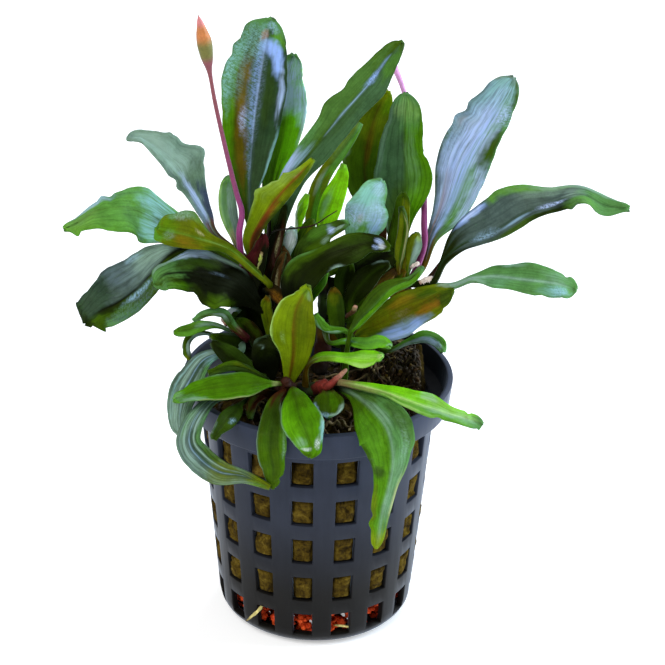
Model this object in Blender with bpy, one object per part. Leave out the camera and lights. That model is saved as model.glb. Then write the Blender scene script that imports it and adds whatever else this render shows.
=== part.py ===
"""A potted bucephalandra: a plastic net pot, its plug of mineral wool, and the plant rooted in it.

Units are metres, +Z is up, and the origin is the centre of the pot's underside.
"""

import math

import bmesh
import bpy
from mathutils import Vector

# Driving dimensions
MM = 0.001
POT_RIM_DIAMETER = 50.0 * MM
POT_HEIGHT = 48.8 * MM
POT_WALL = 1.2 * MM
COLLAR_HEIGHT = 5.0 * MM
COLLAR_TAPER = 0.6 * MM
COLLAR_STEP = 2.5 * MM
BASE_DIAMETER = 36.8 * MM
BASE_ROUNDING = 4.2 * MM
HOLE_COLUMNS = 16
HOLE_ROWS = 5
HOLE_ROW_PITCH = 8.45 * MM
HOLE_HEIGHT = 5.3 * MM
TOP_HOLE_EDGE = 41.5 * MM
FIRST_COLUMN_ANGLE = -6.77
FLOOR_RING_RADII = [11.5 * MM, 8.0 * MM, 4.5 * MM]
WOOL_CLEARANCE = 0.6 * MM
WOOL_TOP = 46.0 * MM
FEED_TOP = 5.2 * MM
LEAF_THICKNESS = 0.5 * MM
WIDE_LEAF = 5.5
STEM_SIDES = 8
STALK_SIDES = 8

# The side of the plant that its leaves are arranged to face
FRONT = Vector((0.0, -0.9, 0.44)).normalized()


def make_material(name, colour, roughness, metallic=0.0):
    material = bpy.data.materials.new(name)
    material.use_nodes = True
    shader = material.node_tree.nodes["Principled BSDF"]
    shader.inputs["Base Color"].default_value = (*colour, 1.0)
    shader.inputs["Roughness"].default_value = roughness
    shader.inputs["Metallic"].default_value = metallic
    return material


def add_object(name, bm, material):
    bmesh.ops.recalc_face_normals(bm, faces=bm.faces)
    mesh = bpy.data.meshes.new(name)
    bm.to_mesh(mesh)
    bm.free()
    mesh.shade_smooth()
    mesh.set_sharp_from_angle(angle=math.radians(40.0))
    mesh.materials.append(material)
    piece = bpy.data.objects.new(name, mesh)
    bpy.context.scene.collection.objects.link(piece)
    return piece


# Leaves
# Each leaf is a list of sections along its rib, from its foot on the stem to its tip.
# A section is x, y and z of the rib, then the blade's width to the left and to the right, in mm.
# turn is how far the blade is turned about its rib from the front, and fold how far each half is
# raised from flat, in degrees. A fold below zero is a blade whose halves fall away from its rib.


def leaf(turn, fold, sections):
    return {"turn": turn, "fold": fold, "sections": sections}


LEAVES = {
    "leaf_tall": leaf(0, 8, [
        (-10.5, 5, 67, 0.6, 0.6), (-13, 8, 77.5, 1.3, 0.7), (-13, 12, 85, 4.4, 3.3),
        (-12.5, 15, 92.5, 5.9, 5), (-11.5, 17, 100.5, 6.8, 5), (-10.5, 17.5, 107, 4.6, 3.8),
        (-9.5, 17, 111.5, 0.5, 0.5),
    ]),
    "leaf_tall_behind": leaf(10, 8, [
        (-9.5, 9, 67, 0.6, 0.6), (-9.5, 14.5, 78, 1.5, 1.1), (-7.5, 20, 87, 3.9, 3.2),
        (-7, 22, 93, 4.3, 4.1), (-6.5, 23, 98.5, 2.7, 2.6), (-5.5, 23.5, 102.5, 0.6, 0.6),
    ]),
    "leaf_left_back": leaf(20, 10, [
        (-13, 9, 67, 0.6, 0.6), (-19.5, 14, 70, 0.6, 0.7), (-21.5, 16, 73.5, 1.5, 1.3),
        (-24.5, 18, 78, 1.9, 3.2), (-27, 20, 81.5, 2.8, 5.1), (-30.5, 21, 84.5, 1.9, 3.2),
        (-33.5, 22, 86, 1.1, 1.7), (-36.5, 22, 86, 0.4, 0.4),
    ]),
    "leaf_left_green": leaf(30, 8, [
        (-13.5, 6.5, 67, 0.6, 0.6), (-20.5, 7.5, 70.5, 0.8, 0.7), (-28.5, 7, 75, 4.2, 4),
        (-33, 4.5, 78.5, 6, 4.9), (-36.5, 2, 80.5, 5.5, 2.9), (-40.5, 1, 80, 4.3, 1.6),
        (-44, 0, 78, 2.3, 1), (-46, -1, 77.5, 0.5, 0.4),
    ]),
    "leaf_left_olive": leaf(25, 10, [
        (-9, -1, 67, 0.6, 0.6), (-12.5, -2, 71, 0.8, 0.7), (-16.5, -2, 74.5, 1.1, 0.9),
        (-20.5, -2, 76, 2, 1.9), (-24, -2, 77, 2.8, 4.6), (-27.5, -1, 77.5, 3.1, 3.3),
        (-29.5, 0, 77.5, 1.1, 1.1),
    ]),
    "leaf_left_dark": leaf(0, -25, [
        (-11.5, 2, 66.5, 0.6, 0.6), (-21, 1, 72.5, 0.6, 0.8), (-25.5, 0.5, 73, 1.6, 1),
        (-29, 0, 70.5, 2.4, 4.4), (-32.5, -1, 66.5, 3.4, 6.4), (-36.5, -2, 63.5, 3.8, 7.2),
        (-40, -3, 62, 3.6, 4.8), (-42.5, -4, 60, 1, 1.2),
    ]),
    "leaf_left_wide": leaf(35, -10, [
        (-9, -2, 61, 0.6, 0.6), (-11.5, -3, 64.5, 1.5, 1.4), (-15, -5, 69, 4.8, 4.3),
        (-19.5, -6, 71, 6.1, 5.8), (-24, -7, 72, 3.9, 5.3), (-27.5, -7, 71.5, 3.3, 3.3),
        (-29.5, -7, 69.5, 1.4, 1.8),
    ]),
    "leaf_young_left": leaf(0, 15, [
        (-13.5, 2, 69.5, 0.4, 0.4), (-15, 4, 72.5, 0.6, 0.4), (-16.5, 5, 78, 1.7, 1.5),
        (-17, 5.5, 83, 1.5, 1.3), (-16.5, 5.5, 85.5, 0.4, 0.4),
    ]),
    "leaf_wavy": leaf(0, 20, [
        (-12, 1, 70.5, 0.6, 0.6), (-12.5, 0, 75, 1.5, 1.2), (-11, -1, 79, 2.3, 1.3),
        (-8.5, -2, 83.5, 3.2, 1.7), (-6, -2.5, 87, 2.5, 1.7), (-3.5, -3, 90, 1.1, 1.1),
        (-1.5, -3, 92.5, 0.4, 0.4),
    ]),
    "leaf_arching_dark": leaf(-10, 12, [
        (-9.5, 3, 67, 0.7, 0.7), (-8, 3, 77, 1.6, 1.7), (-5.5, 2, 86.5, 2, 2.7),
        (-0.5, 1, 94, 2.7, 3.3), (4, 0, 100.5, 3.3, 3.2), (8.5, -1, 106.5, 3, 3.4),
        (11.5, -2, 111.5, 1.9, 2.1), (13.5, -3, 114.5, 0.4, 0.4),
    ]),
    "leaf_brown_behind": leaf(0, 10, [
        (12, 9, 67, 0.6, 0.6), (10, 15, 74.5, 2.3, 2.3), (8, 18, 81, 3.8, 2.6),
        (8.5, 20, 87, 4.5, 3.4), (10, 21, 92.5, 3, 2.6), (12, 21, 96.5, 0.4, 0.4),
    ]),
    "leaf_right_tall": leaf(0, 12, [
        (14, 5, 67, 0.6, 0.6), (14.5, 7, 72, 1.9, 1.1), (15, 9.5, 76.5, 3.8, 2.3),
        (15.5, 12, 82.5, 6, 4.9), (15, 14, 88, 4.9, 3.7), (15, 15, 93.5, 3, 3.2),
        (15, 15, 98.5, 0.6, 0.6),
    ]),
    "leaf_right_pale": leaf(-10, 8, [
        (19, 7, 67.5, 0.6, 0.6), (20.5, 9, 72.5, 1.1, 1.3), (23, 11, 78, 2.4, 4.3),
        (25.5, 13, 85.5, 4.6, 5.4), (29, 15, 91.5, 5.1, 4.4), (32, 15, 97, 3.6, 3.3),
        (34.5, 14.5, 102, 0.5, 0.6),
    ]),
    "leaf_right_long": leaf(-30, 15, [
        (20.5, 2, 66.5, 0.6, 0.6), (22.5, 1, 71.5, 0.7, 0.8), (26, 0, 75.5, 3.9, 1.5),
        (31.5, -2, 79, 6.7, 2.3), (36.5, -3, 83, 5.5, 2.5), (41.5, -4, 85.5, 3.1, 2.3),
        (46, -5, 87.5, 1.8, 2.5), (50.5, -5, 85.5, 1.6, 2.5), (54.5, -6, 85.5, 0.4, 0.4),
    ]),
    "leaf_right_small": leaf(-30, 8, [
        (18.5, 5, 65, 0.6, 0.6), (24, 2, 66, 0.6, 0.6), (28, 1, 68, 0.8, 0.7),
        (32, 0, 69, 2.2, 2.5), (36.5, -1, 69, 3.3, 2.8), (41, -2, 69, 2.9, 3.2),
        (44, -2, 68.5, 2.3, 3), (46.5, -2, 67.5, 1, 0.9),
    ]),
    "leaf_centre_pale": leaf(0, 15, [
        (6, 4, 69.5, 0.6, 0.6), (7, 2, 76.5, 2.6, 3.4), (8, 1, 81, 3.7, 4.5), (9, 1, 84, 2.6, 3),
        (11, 1, 87, 0.6, 0.7),
    ]),
    "leaf_backlit": leaf(0, 5, [
        (0.5, 4, 69.5, 0.4, 0.4), (0.5, 6.5, 76, 1.3, 2.2), (2, 7, 80.5, 2, 2.2),
        (3.5, 7, 85, 1.1, 1.5), (4, 7, 87.5, 0.4, 0.4),
    ]),
    "leaf_sliver": leaf(0, 5, [
        (-3.5, 5, 70, 0.4, 0.4), (-4, 7, 75.5, 0.6, 0.6), (-3.5, 7, 78.5, 0.9, 0.9),
        (-2.5, 7, 81.5, 0.4, 0.4),
    ]),
    "leaf_narrow_olive": leaf(0, 10, [
        (-2.5, 7, 68, 0.4, 0.4), (-2, 9.5, 74.5, 0.9, 1.1), (-1, 11, 80, 1.3, 1.5),
        (1, 12.5, 84, 1.3, 1.3), (4, 14, 88, 1.1, 1.1), (7, 15, 92.5, 0.4, 0.4),
    ]),
    "leaf_centre_dark": leaf(-15, 12, [
        (-4, -4, 59.5, 0.6, 0.6), (-4, -5, 66, 2.5, 2.3), (-3, -6, 71, 3.6, 3),
        (1, -7, 75.5, 2.1, 3), (5.5, -7, 77.5, 2.5, 3.2), (9, -7, 78.5, 1.6, 2),
        (12.5, -7, 77.5, 0.5, 0.6),
    ]),
    "leaf_centre_glossy": leaf(-20, 10, [
        (-4, -1, 67, 0.4, 0.4), (-3, -2, 74, 1.6, 1.1), (-0.5, -3, 77, 2.2, 1.7),
        (2.5, -3, 79, 1.5, 1), (5, -3, 80.5, 0.4, 0.4),
    ]),
    "leaf_tiny_grey": leaf(0, 5, [
        (-6, 1, 68.5, 0.4, 0.4), (-6, 2, 72, 0.7, 0.7), (-5.5, 2, 74.5, 1.5, 1.3),
        (-5, 2, 77, 0.9, 0.9),
    ]),
    "leaf_front_upright": leaf(0, 10, [
        (-5.5, -9, 50, 0.6, 0.6), (-5, -10, 54, 1.3, 1.8), (-4.5, -12, 59, 2.5, 3.3),
        (-4.5, -14, 64.5, 4, 4.1), (-4, -15, 69, 3.2, 3.6), (-3, -15.5, 71.5, 1.6, 2.3),
        (-2, -16, 74, 0.4, 0.5),
    ]),
    "leaf_front_left": leaf(30, 10, [
        (-6, -11, 52, 0.4, 0.4), (-9, -13, 53, 0.8, 0.7), (-12.5, -15, 54, 2.6, 2.1),
        (-16.5, -17, 54.5, 3.3, 2.5), (-21, -19, 54.5, 2.3, 1.9), (-23.5, -20, 54, 1.6, 1.1),
        (-25.5, -20.5, 53.5, 0.5, 0.4),
    ]),
    "leaf_front_drop": leaf(0, -12, [
        (-4.5, -12, 51.5, 0.6, 0.6), (-4, -18, 53, 2.2, 2.4), (-3, -24, 52.5, 3.6, 3.6),
        (-2, -27, 51.5, 3.6, 3.4), (-1, -28.5, 49, 2.1, 2.3), (-1, -29, 47, 0.4, 0.4),
    ]),
    "leaf_front_hanging": leaf(0, -10, [
        (-6, -13, 51.5, 0.5, 0.5), (-7.5, -17, 51, 1.1, 1.5), (-8, -25, 50, 2.7, 2.3),
        (-8, -26.5, 46.5, 2.7, 2.5), (-7.5, -27, 43.5, 2, 2.1), (-7.5, -27, 39.5, 0.4, 0.4),
    ]),
    "leaf_front_folded": leaf(0, 20, [
        (1.5, -11, 51.5, 0.6, 0.6), (2, -13, 50.5, 1.9, 2.3), (2, -16, 50, 3.1, 2.9),
        (2, -18, 49, 1.5, 1.7),
    ]),
    "leaf_front_large": leaf(0, -12, [
        (3.5, -8, 50, 0.6, 0.6), (6.5, -14.5, 52, 1.1, 1.5), (9.5, -21.5, 53, 3.6, 4.7),
        (12.5, -28, 52, 4.6, 5.7), (13.5, -29, 47, 3, 4.6), (13, -28, 41, 1.6, 2.9),
        (12, -27, 35.5, 1.5, 2.2), (11.5, -26.5, 30.5, 1.1, 1.5), (11, -26, 27, 0.6, 0.6),
    ]),
    "leaf_front_lime": leaf(-30, 10, [
        (3.5, -11, 52.5, 0.6, 0.6), (7.5, -17, 55, 0.7, 0.8), (12, -21.5, 56, 1.5, 0.7),
        (15.5, -24, 56, 2.1, 1.4), (19, -25.5, 55.5, 2.8, 2.1), (23, -26, 54.5, 1.5, 1.6),
        (26.5, -26, 53.5, 1.3, 1.8), (29, -26, 52.5, 0.6, 0.7),
    ]),
    "leaf_lime_short": leaf(-30, 10, [
        (-2, -9, 54.5, 0.4, 0.4), (0.5, -10, 57, 0.9, 0.8), (5, -12, 58, 1, 1.2),
        (8.5, -14, 59, 1.5, 2.1), (11.5, -15, 60, 0.9, 1.2),
    ]),
    "leaf_green_short": leaf(-30, 10, [
        (2, -6, 58, 0.4, 0.4), (5, -8, 59.5, 0.5, 0.8), (8.5, -10, 60, 1.1, 1.4),
        (11, -11, 61, 1.1, 1.6), (13, -12, 60.5, 0.6, 0.9),
    ]),
    "leaf_teal_curl": leaf(0, 10, [
        (6, -6.5, 59.5, 0.4, 0.4), (4.5, -8, 61.5, 0.4, 0.5), (2, -9, 62, 0.5, 0.7),
        (0.5, -10, 63.5, 0.7, 0.9), (-0.5, -10, 65.5, 0.4, 0.4),
    ]),
    "leaf_right_broad": leaf(-25, 8, [
        (4.5, -2, 55.5, 0.6, 0.6), (7.5, -3, 59, 1.5, 1.6), (11, -4, 62, 2.3, 5),
        (15, -5, 64.5, 3, 5.6), (19, -6, 67, 2.6, 4.7), (21.5, -6, 68.5, 1.5, 3.4),
        (24, -6, 69, 0.4, 0.6),
    ]),
    "leaf_right_narrow": leaf(-20, 12, [
        (5.5, -10, 61, 0.4, 0.4), (7, -11.5, 64.5, 1.1, 0.6), (9.5, -13, 68.5, 2.1, 0.8),
        (12.5, -14, 72.5, 1.8, 1), (16, -15, 75, 0.7, 0.8), (18, -15, 77.5, 0.4, 0.4),
    ]),
    "leaf_left_drooping": leaf(15, -10, [
        (-14, -7, 56.5, 0.6, 0.6), (-17.5, -9, 57, 0.7, 0.9), (-20.5, -12, 57, 1.6, 1.8),
        (-22.5, -15, 55, 2.3, 2.8), (-24, -16, 52, 2.5, 2.8), (-24.5, -18, 49, 1.6, 2.4),
        (-24.5, -19, 45.5, 0.4, 0.4),
    ]),
    "leaf_left_curled": leaf(0, 12, [
        (-13.5, -10, 49, 0.4, 0.4), (-18.5, -15.5, 51, 0.9, 0.9), (-21.5, -21, 50, 1.8, 1.6),
        (-22.5, -24, 47, 2.2, 2.3), (-20.5, -25, 44, 2.5, 2.5), (-17, -26, 42, 2.2, 2.4),
        (-12.5, -26.5, 41.5, 1.1, 1.3), (-8, -27.5, 40, 0.4, 0.4),
    ]),
    "leaf_small_olive": leaf(0, 10, [
        (-13.5, -14, 49.5, 0.4, 0.4), (-14.5, -18, 50, 1.3, 1.3), (-16, -21.5, 50, 1.8, 1.6),
        (-17.5, -24, 49, 0.9, 0.9), (-18, -25, 48, 0.4, 0.4),
    ]),
    "leaf_small_dark": leaf(15, 8, [
        (-10, -2, 54, 0.4, 0.4), (-13, -3, 54.5, 1.9, 1.8), (-15.5, -5, 57, 2.4, 1.8),
        (-19.5, -6, 59, 0.4, 0.4),
    ]),
    "leaf_small_round": leaf(0, 10, [
        (-8.5, -8, 51, 0.6, 0.6), (-9, -9, 55, 2.6, 2.2), (-9.5, -10, 58.5, 2.4, 2.2),
        (-9, -10, 61, 0.7, 0.7),
    ]),
    "leaf_small_low": leaf(20, 10, [
        (-9.5, -10, 52.5, 0.4, 0.4), (-12, -11, 54.5, 0.8, 0.5), (-15.5, -13, 56.5, 1, 0.9),
        (-19.5, -15, 56, 0.4, 0.4),
    ]),
    "leaf_tiny_left": leaf(10, 8, [
        (-14.5, -3, 57.5, 0.4, 0.4), (-18, -5, 60.5, 0.4, 0.4), (-21, -6, 61, 1, 0.9),
        (-23.5, -7, 60.5, 1.1, 1.1), (-26, -8, 60.5, 0.8, 0.7),
    ]),
    "leaf_tiny_hanging": leaf(0, 8, [
        (-16.5, -3, 56.5, 0.4, 0.4), (-20.5, -4, 58.5, 0.4, 0.4), (-23.5, -5, 58, 0.6, 0.6),
        (-24, -6, 56, 0.7, 0.6), (-23.5, -7, 54.5, 0.4, 0.4),
    ]),
    "leaf_tiny_arch": leaf(20, -8, [
        (-13, -5, 58, 0.7, 0.7), (-15.5, -7, 61.5, 0.7, 0.8), (-17, -8, 64.5, 0.9, 0.8),
        (-20, -9, 65, 0.5, 0.6), (-22.5, -9, 63.5, 0.4, 0.4),
    ]),
    "leaf_tiny_blue": leaf(0, 5, [
        (-14.5, -2, 58.5, 0.4, 0.4), (-16, -3, 61.5, 1.1, 0.9), (-14.5, -3, 63, 0.4, 0.4),
    ]),
    "leaf_rim_right": leaf(-20, -8, [
        (12.5, 1, 53, 0.4, 0.4), (16.5, 2, 54.5, 0.6, 0.6), (19.5, 2, 55.5, 1.5, 1.1),
        (22, 1, 55, 1.3, 1.1), (23, 0, 53.5, 0.4, 0.4),
    ]),
    "leaf_small_upright": leaf(0, 8, [
        (4.5, -4.5, 56, 0.4, 0.4), (3.5, -5, 61, 1.3, 1.3), (3, -5, 65, 1.6, 1.6),
        (2.5, -5, 68.5, 0.9, 1.1),
    ]),
    "leaf_bud_olive": leaf(0, 8, [
        (16, 4, 67, 0.4, 0.4), (16.5, 3, 71, 0.9, 1.1), (17, 3, 73.5, 1.5, 1.5),
        (17.5, 3, 76, 0.7, 0.9),
    ]),
    "leaf_rolled": leaf(0, 25, [
        (14.5, 3, 68, 0.4, 0.4), (14.5, 2, 73, 1, 1), (15, 2, 77.5, 1, 1),
        (14.5, 2, 81.5, 0.4, 0.4),
    ]),
    "leaf_navy_right": leaf(-10, 8, [
        (5.5, -2.5, 61, 0.6, 0.6), (6, -3, 65.5, 1.5, 1.5), (8, -4, 69.5, 2.2, 2.3),
        (10.5, -4, 72, 1.4, 1.5), (12.5, -4, 73, 0.5, 0.6),
    ]),
    "leaf_navy_left": leaf(0, 8, [
        (4, -1, 60, 0.6, 0.6), (4.5, 0, 64, 1.3, 1.5), (4.5, 1, 67.5, 1.8, 1.8),
        (5.5, 1, 71, 0.9, 0.9),
    ]),
}

DARK_LEAVES = {
    "leaf_left_dark", "leaf_left_wide", "leaf_arching_dark", "leaf_right_long", "leaf_centre_dark",
    "leaf_navy_left", "leaf_navy_right", "leaf_small_dark", "leaf_small_round", "leaf_right_tall",
}
OLIVE_LEAVES = {
    "leaf_left_olive", "leaf_wavy", "leaf_front_upright", "leaf_narrow_olive", "leaf_brown_behind",
    "leaf_small_upright", "leaf_bud_olive", "leaf_small_low", "leaf_small_olive", "leaf_rolled",
}

# Stems and flower stalks
# A route is a list of points x, y and z, then the radius there, in mm.
STEMS = {
    "stem_front": [
        (-9.5, -6.5, 48.8, 0.8), (-5.5, -7.2, 49.0, 1.1), (-1, -7, 49.0, 1.2), (5.5, -5.5, 49.2, 1.0),
    ],
    "stem_side": [(-8.5, 0, 47.4, 1.3), (-11.5, 0.5, 52, 1.3), (-14.5, 0, 56.3, 1.0)],
    "stem_left": [(-5, 1, 47.4, 1.7), (-7.5, 2, 54, 1.7), (-8.5, 2, 60, 1.6), (-10.5, 3, 65.5, 1.2)],
    "stem_centre": [(0, 1.5, 47.4, 1.5), (1, 2, 55, 1.5), (1, 3, 62, 1.3), (0.5, 3.5, 67, 0.8)],
    "stem_right": [(6, 3, 47.4, 1.6), (9.5, 4, 54, 1.6), (13, 4.5, 60, 1.4), (16.5, 5, 65, 1.1)],
}
FLOWERS = {
    "flower_left": [
        (-14, 0.5, 70.5, 0.55), (-14.5, -2.5, 77.5, 0.55), (-14, -3, 82, 0.5), (-15, -3, 86, 0.45),
        (-16.5, -3, 92.5, 0.4), (-18.5, -3, 102, 0.35), (-19.5, -3, 108, 0.4), (-20, -3, 111, 1.15),
        (-20.5, -3, 114, 1.45), (-21, -3, 116.5, 0.95), (-21.5, -3, 119, 0.2),
    ],
    "flower_right": [
        (17.5, 5, 67.5, 0.6), (19, 6.5, 72, 0.6), (19, 8.5, 75.5, 0.6), (19, 12, 78, 0.55),
        (19, 15, 80.5, 0.5), (17.5, 18.5, 88, 0.45), (15, 20, 96.5, 0.45),
        (13.5, 20, 100.5, 0.55), (12, 20, 103.5, 0.7), (10, 20, 105, 0.2),
    ],
}


def smooth_step(values, position):
    """A Catmull-Rom curve through rows of values, where row k is met at position k."""
    last = len(values) - 1
    start = min(int(position), last - 1)
    part = position - start
    here = values[start]
    after = values[start + 1]
    before = values[start - 1] if start > 0 else [2 * a - b for a, b in zip(here, after)]
    beyond = values[start + 2] if start + 2 <= last else [2 * b - a for a, b in zip(here, after)]
    return [
        0.5 * (2 * b + (c - a) * part + (2 * a - 5 * b + 4 * c - d) * part**2
               + (3 * b - a - 3 * c + d) * part**3)
        for a, b, c, d in zip(before, here, after, beyond)
    ]


def direction_at(values, position):
    last = len(values) - 1
    ahead = Vector(smooth_step(values, min(position + 0.02, last))[:3])
    behind = Vector(smooth_step(values, max(position - 0.02, 0.0))[:3])
    return (ahead - behind).normalized()


def leaf_rows(shape, along, across):
    """Rows of points over the blade, from its left margin to its right, foot first."""
    sections = shape["sections"]
    rows = []
    for step in range(along + 1):
        position = step * (len(sections) - 1) / along
        values = smooth_step(sections, position)
        rib = Vector(values[:3])
        left = max(values[3], 0.25)
        right = max(values[4], 0.25)
        forward = direction_at(sections, position)
        face = (FRONT - FRONT.dot(forward) * forward).normalized()
        side = forward.cross(face)
        turn = math.radians(shape["turn"] * min(position / 2, 1.0))
        fold = math.radians(shape["fold"])
        turned_face = math.cos(turn) * face + math.sin(turn) * side
        turned_side = math.cos(turn) * side - math.sin(turn) * face
        row = []
        for column in range(-across, across + 1):
            reach = left if column < 0 else right
            share = column / across * reach
            point = rib + turned_side * share * math.cos(fold)
            point += turned_face * abs(share) * math.sin(fold)
            row.append(point * MM)
        rows.append(row)
    return rows


def add_leaf(name, shape, material):
    widest = max(section[3] + section[4] for section in shape["sections"])
    along, across = (8, 2) if widest > WIDE_LEAF else (6, 1)
    bm = bmesh.new()
    rows = [[bm.verts.new(point) for point in row] for row in leaf_rows(shape, along, across)]
    for near, far in zip(rows, rows[1:]):
        for column in range(2 * across):
            bm.faces.new((near[column], near[column + 1], far[column + 1], far[column]))
    piece = add_object(name, bm, material)
    thickness = piece.modifiers.new("Thickness", "SOLIDIFY")
    thickness.thickness = LEAF_THICKNESS
    thickness.offset = 0.0
    return piece


def add_tube(name, route, sides, per_span, material):
    """A round stem along a smooth route, closed at both ends."""
    bm = bmesh.new()
    steps = (len(route) - 1) * per_span
    rings = []
    for step in range(steps + 1):
        position = step / per_span
        values = smooth_step(route, position)
        centre = Vector(values[:3]) * MM
        forward = direction_at(route, position)
        side = forward.cross(Vector((0.0, 1.0, 0.0))).normalized()
        up = side.cross(forward)
        ring = []
        for corner in range(sides):
            angle = math.tau * corner / sides
            offset = (math.cos(angle) * side + math.sin(angle) * up) * max(values[3], 0.2) * MM
            ring.append(bm.verts.new(centre + offset))
        rings.append(ring)
    for near, far in zip(rings, rings[1:]):
        for corner in range(sides):
            beyond = (corner + 1) % sides
            bm.faces.new((near[corner], near[beyond], far[beyond], far[corner]))
    bm.faces.new(rings[0])
    bm.faces.new(rings[-1])
    return add_object(name, bm, material)


# Pot


def pot_profile():
    """Outer radius and height down the pot, each with whether the band below it has holes."""
    rim_radius = POT_RIM_DIAMETER / 2
    collar_foot = POT_HEIGHT - COLLAR_HEIGHT
    base_radius = BASE_DIAMETER / 2
    wall_top_radius = rim_radius - COLLAR_TAPER - COLLAR_STEP

    def wall_radius(height):
        share = (height - BASE_ROUNDING) / (collar_foot - BASE_ROUNDING)
        return base_radius + (wall_top_radius - base_radius) * share

    profile = [
        (rim_radius, POT_HEIGHT, False),
        (rim_radius - COLLAR_TAPER, collar_foot, False),
        (wall_top_radius, collar_foot - 0.4 * MM, False),
    ]
    for row in range(HOLE_ROWS):
        top = TOP_HOLE_EDGE - row * HOLE_ROW_PITCH
        bottom = top - HOLE_HEIGHT
        profile.append((wall_radius(top), top, True))
        if bottom < BASE_ROUNDING:
            profile.append((base_radius, BASE_ROUNDING, True))
            break
        profile.append((wall_radius(bottom), bottom, False))
    for angle in (30.0, 60.0, 90.0):
        turn = math.radians(angle)
        radius = base_radius - BASE_ROUNDING * (1.0 - math.cos(turn))
        profile.append((radius, BASE_ROUNDING * (1.0 - math.sin(turn)), False))
    for radius in FLOOR_RING_RADII:
        profile.append((radius, 0.0, radius == FLOOR_RING_RADII[0]))
    return profile


def add_pot(material):
    bm = bmesh.new()
    profile = pot_profile()
    columns = 2 * HOLE_COLUMNS
    pitch = 360.0 / columns
    rings = []
    for radius, height, _ in profile:
        ring = []
        for column in range(columns):
            angle = math.radians(FIRST_COLUMN_ANGLE + (column - 0.5) * pitch)
            ring.append(bm.verts.new((radius * math.sin(angle), -radius * math.cos(angle), height)))
        rings.append(ring)
    for band, (upper, lower) in enumerate(zip(rings, rings[1:])):
        for column in range(columns):
            if profile[band][2] and column % 2 == 0:
                continue
            beyond = (column + 1) % columns
            bm.faces.new((upper[column], upper[beyond], lower[beyond], lower[column]))
    bm.faces.new(rings[-1])
    pot = add_object("pot", bm, material)
    wall = pot.modifiers.new("Wall", "SOLIDIFY")
    wall.thickness = POT_WALL
    wall.offset = -1.0
    wall.use_even_offset = True
    wall.use_quality_normals = True
    return pot


def add_turned(name, profile, sides, material):
    """A closed turned solid, from radius and height pairs with the first and last on the axis."""
    bm = bmesh.new()
    rings = []
    for radius, height in profile[1:-1]:
        ring = []
        for corner in range(sides):
            angle = math.tau * corner / sides
            ring.append(bm.verts.new((radius * math.cos(angle), radius * math.sin(angle), height)))
        rings.append(ring)
    top = bm.verts.new((0.0, 0.0, profile[0][1]))
    bottom = bm.verts.new((0.0, 0.0, profile[-1][1]))
    for corner in range(sides):
        beyond = (corner + 1) % sides
        bm.faces.new((top, rings[0][corner], rings[0][beyond]))
        for upper, lower in zip(rings, rings[1:]):
            bm.faces.new((upper[corner], lower[corner], lower[beyond], upper[beyond]))
        bm.faces.new((bottom, rings[-1][beyond], rings[-1][corner]))
    return add_object(name, bm, material)


def add_wool(material):
    inside_top = POT_RIM_DIAMETER / 2 - COLLAR_TAPER - COLLAR_STEP - POT_WALL - WOOL_CLEARANCE
    inside_base = BASE_DIAMETER / 2 - POT_WALL - WOOL_CLEARANCE
    shoulder = 40.5 * MM
    foot = FEED_TOP + 0.4 * MM
    profile = [
        (0.0, WOOL_TOP),
        (8.0 * MM, WOOL_TOP - 0.4 * MM),
        (14.5 * MM, WOOL_TOP - 1.8 * MM),
        (inside_top - 1.0 * MM, shoulder + 0.8 * MM),
        (inside_top - 0.3 * MM, shoulder - 2.0 * MM),
        (inside_base, foot + 1.5 * MM),
        (inside_base - 1.5 * MM, foot),
        (0.0, foot),
    ]
    return add_turned("wool", profile, 24, material)


def add_feed(material):
    outer = BASE_DIAMETER / 2 - BASE_ROUNDING - POT_WALL
    profile = [
        (0.0, FEED_TOP),
        (outer - 1.5 * MM, FEED_TOP - 0.4 * MM),
        (outer, POT_WALL + 2.4 * MM),
        (outer - 0.8 * MM, POT_WALL + 0.3 * MM),
        (0.0, POT_WALL + 0.3 * MM),
    ]
    return add_turned("feed", profile, 20, material)


def main():
    for existing in list(bpy.data.objects):
        bpy.data.objects.remove(existing)

    add_pot(make_material("pot_plastic", (0.035, 0.045, 0.075), 0.45))
    add_wool(make_material("wool_brown", (0.13, 0.085, 0.03), 0.95))
    add_feed(make_material("feed_orange", (0.45, 0.1, 0.02), 0.8))

    stem_material = make_material("stem_brown", (0.09, 0.035, 0.02), 0.6)
    for name, route in STEMS.items():
        add_tube(name, route, STEM_SIDES, 2, stem_material)

    flower_material = make_material("flower_pink", (0.45, 0.08, 0.16), 0.45)
    for name, route in FLOWERS.items():
        add_tube(name, route, STALK_SIDES, 2, flower_material)

    leaf_green = make_material("leaf_green", (0.05, 0.16, 0.015), 0.3)
    leaf_dark = make_material("leaf_dark", (0.015, 0.035, 0.03), 0.25)
    leaf_olive = make_material("leaf_olive", (0.13, 0.13, 0.01), 0.35)
    for name, shape in LEAVES.items():
        material = leaf_green
        if name in DARK_LEAVES:
            material = leaf_dark
        if name in OLIVE_LEAVES:
            material = leaf_olive
        add_leaf(name, shape, material)


main()
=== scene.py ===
# A potted bucephalandra: the look of the plant, its net pot, wool and plant food.
# Lengths in the dictionaries are millimetres, and colours are 0 to 255.
import math
import random

import bpy
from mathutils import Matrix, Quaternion, Vector, noise


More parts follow.
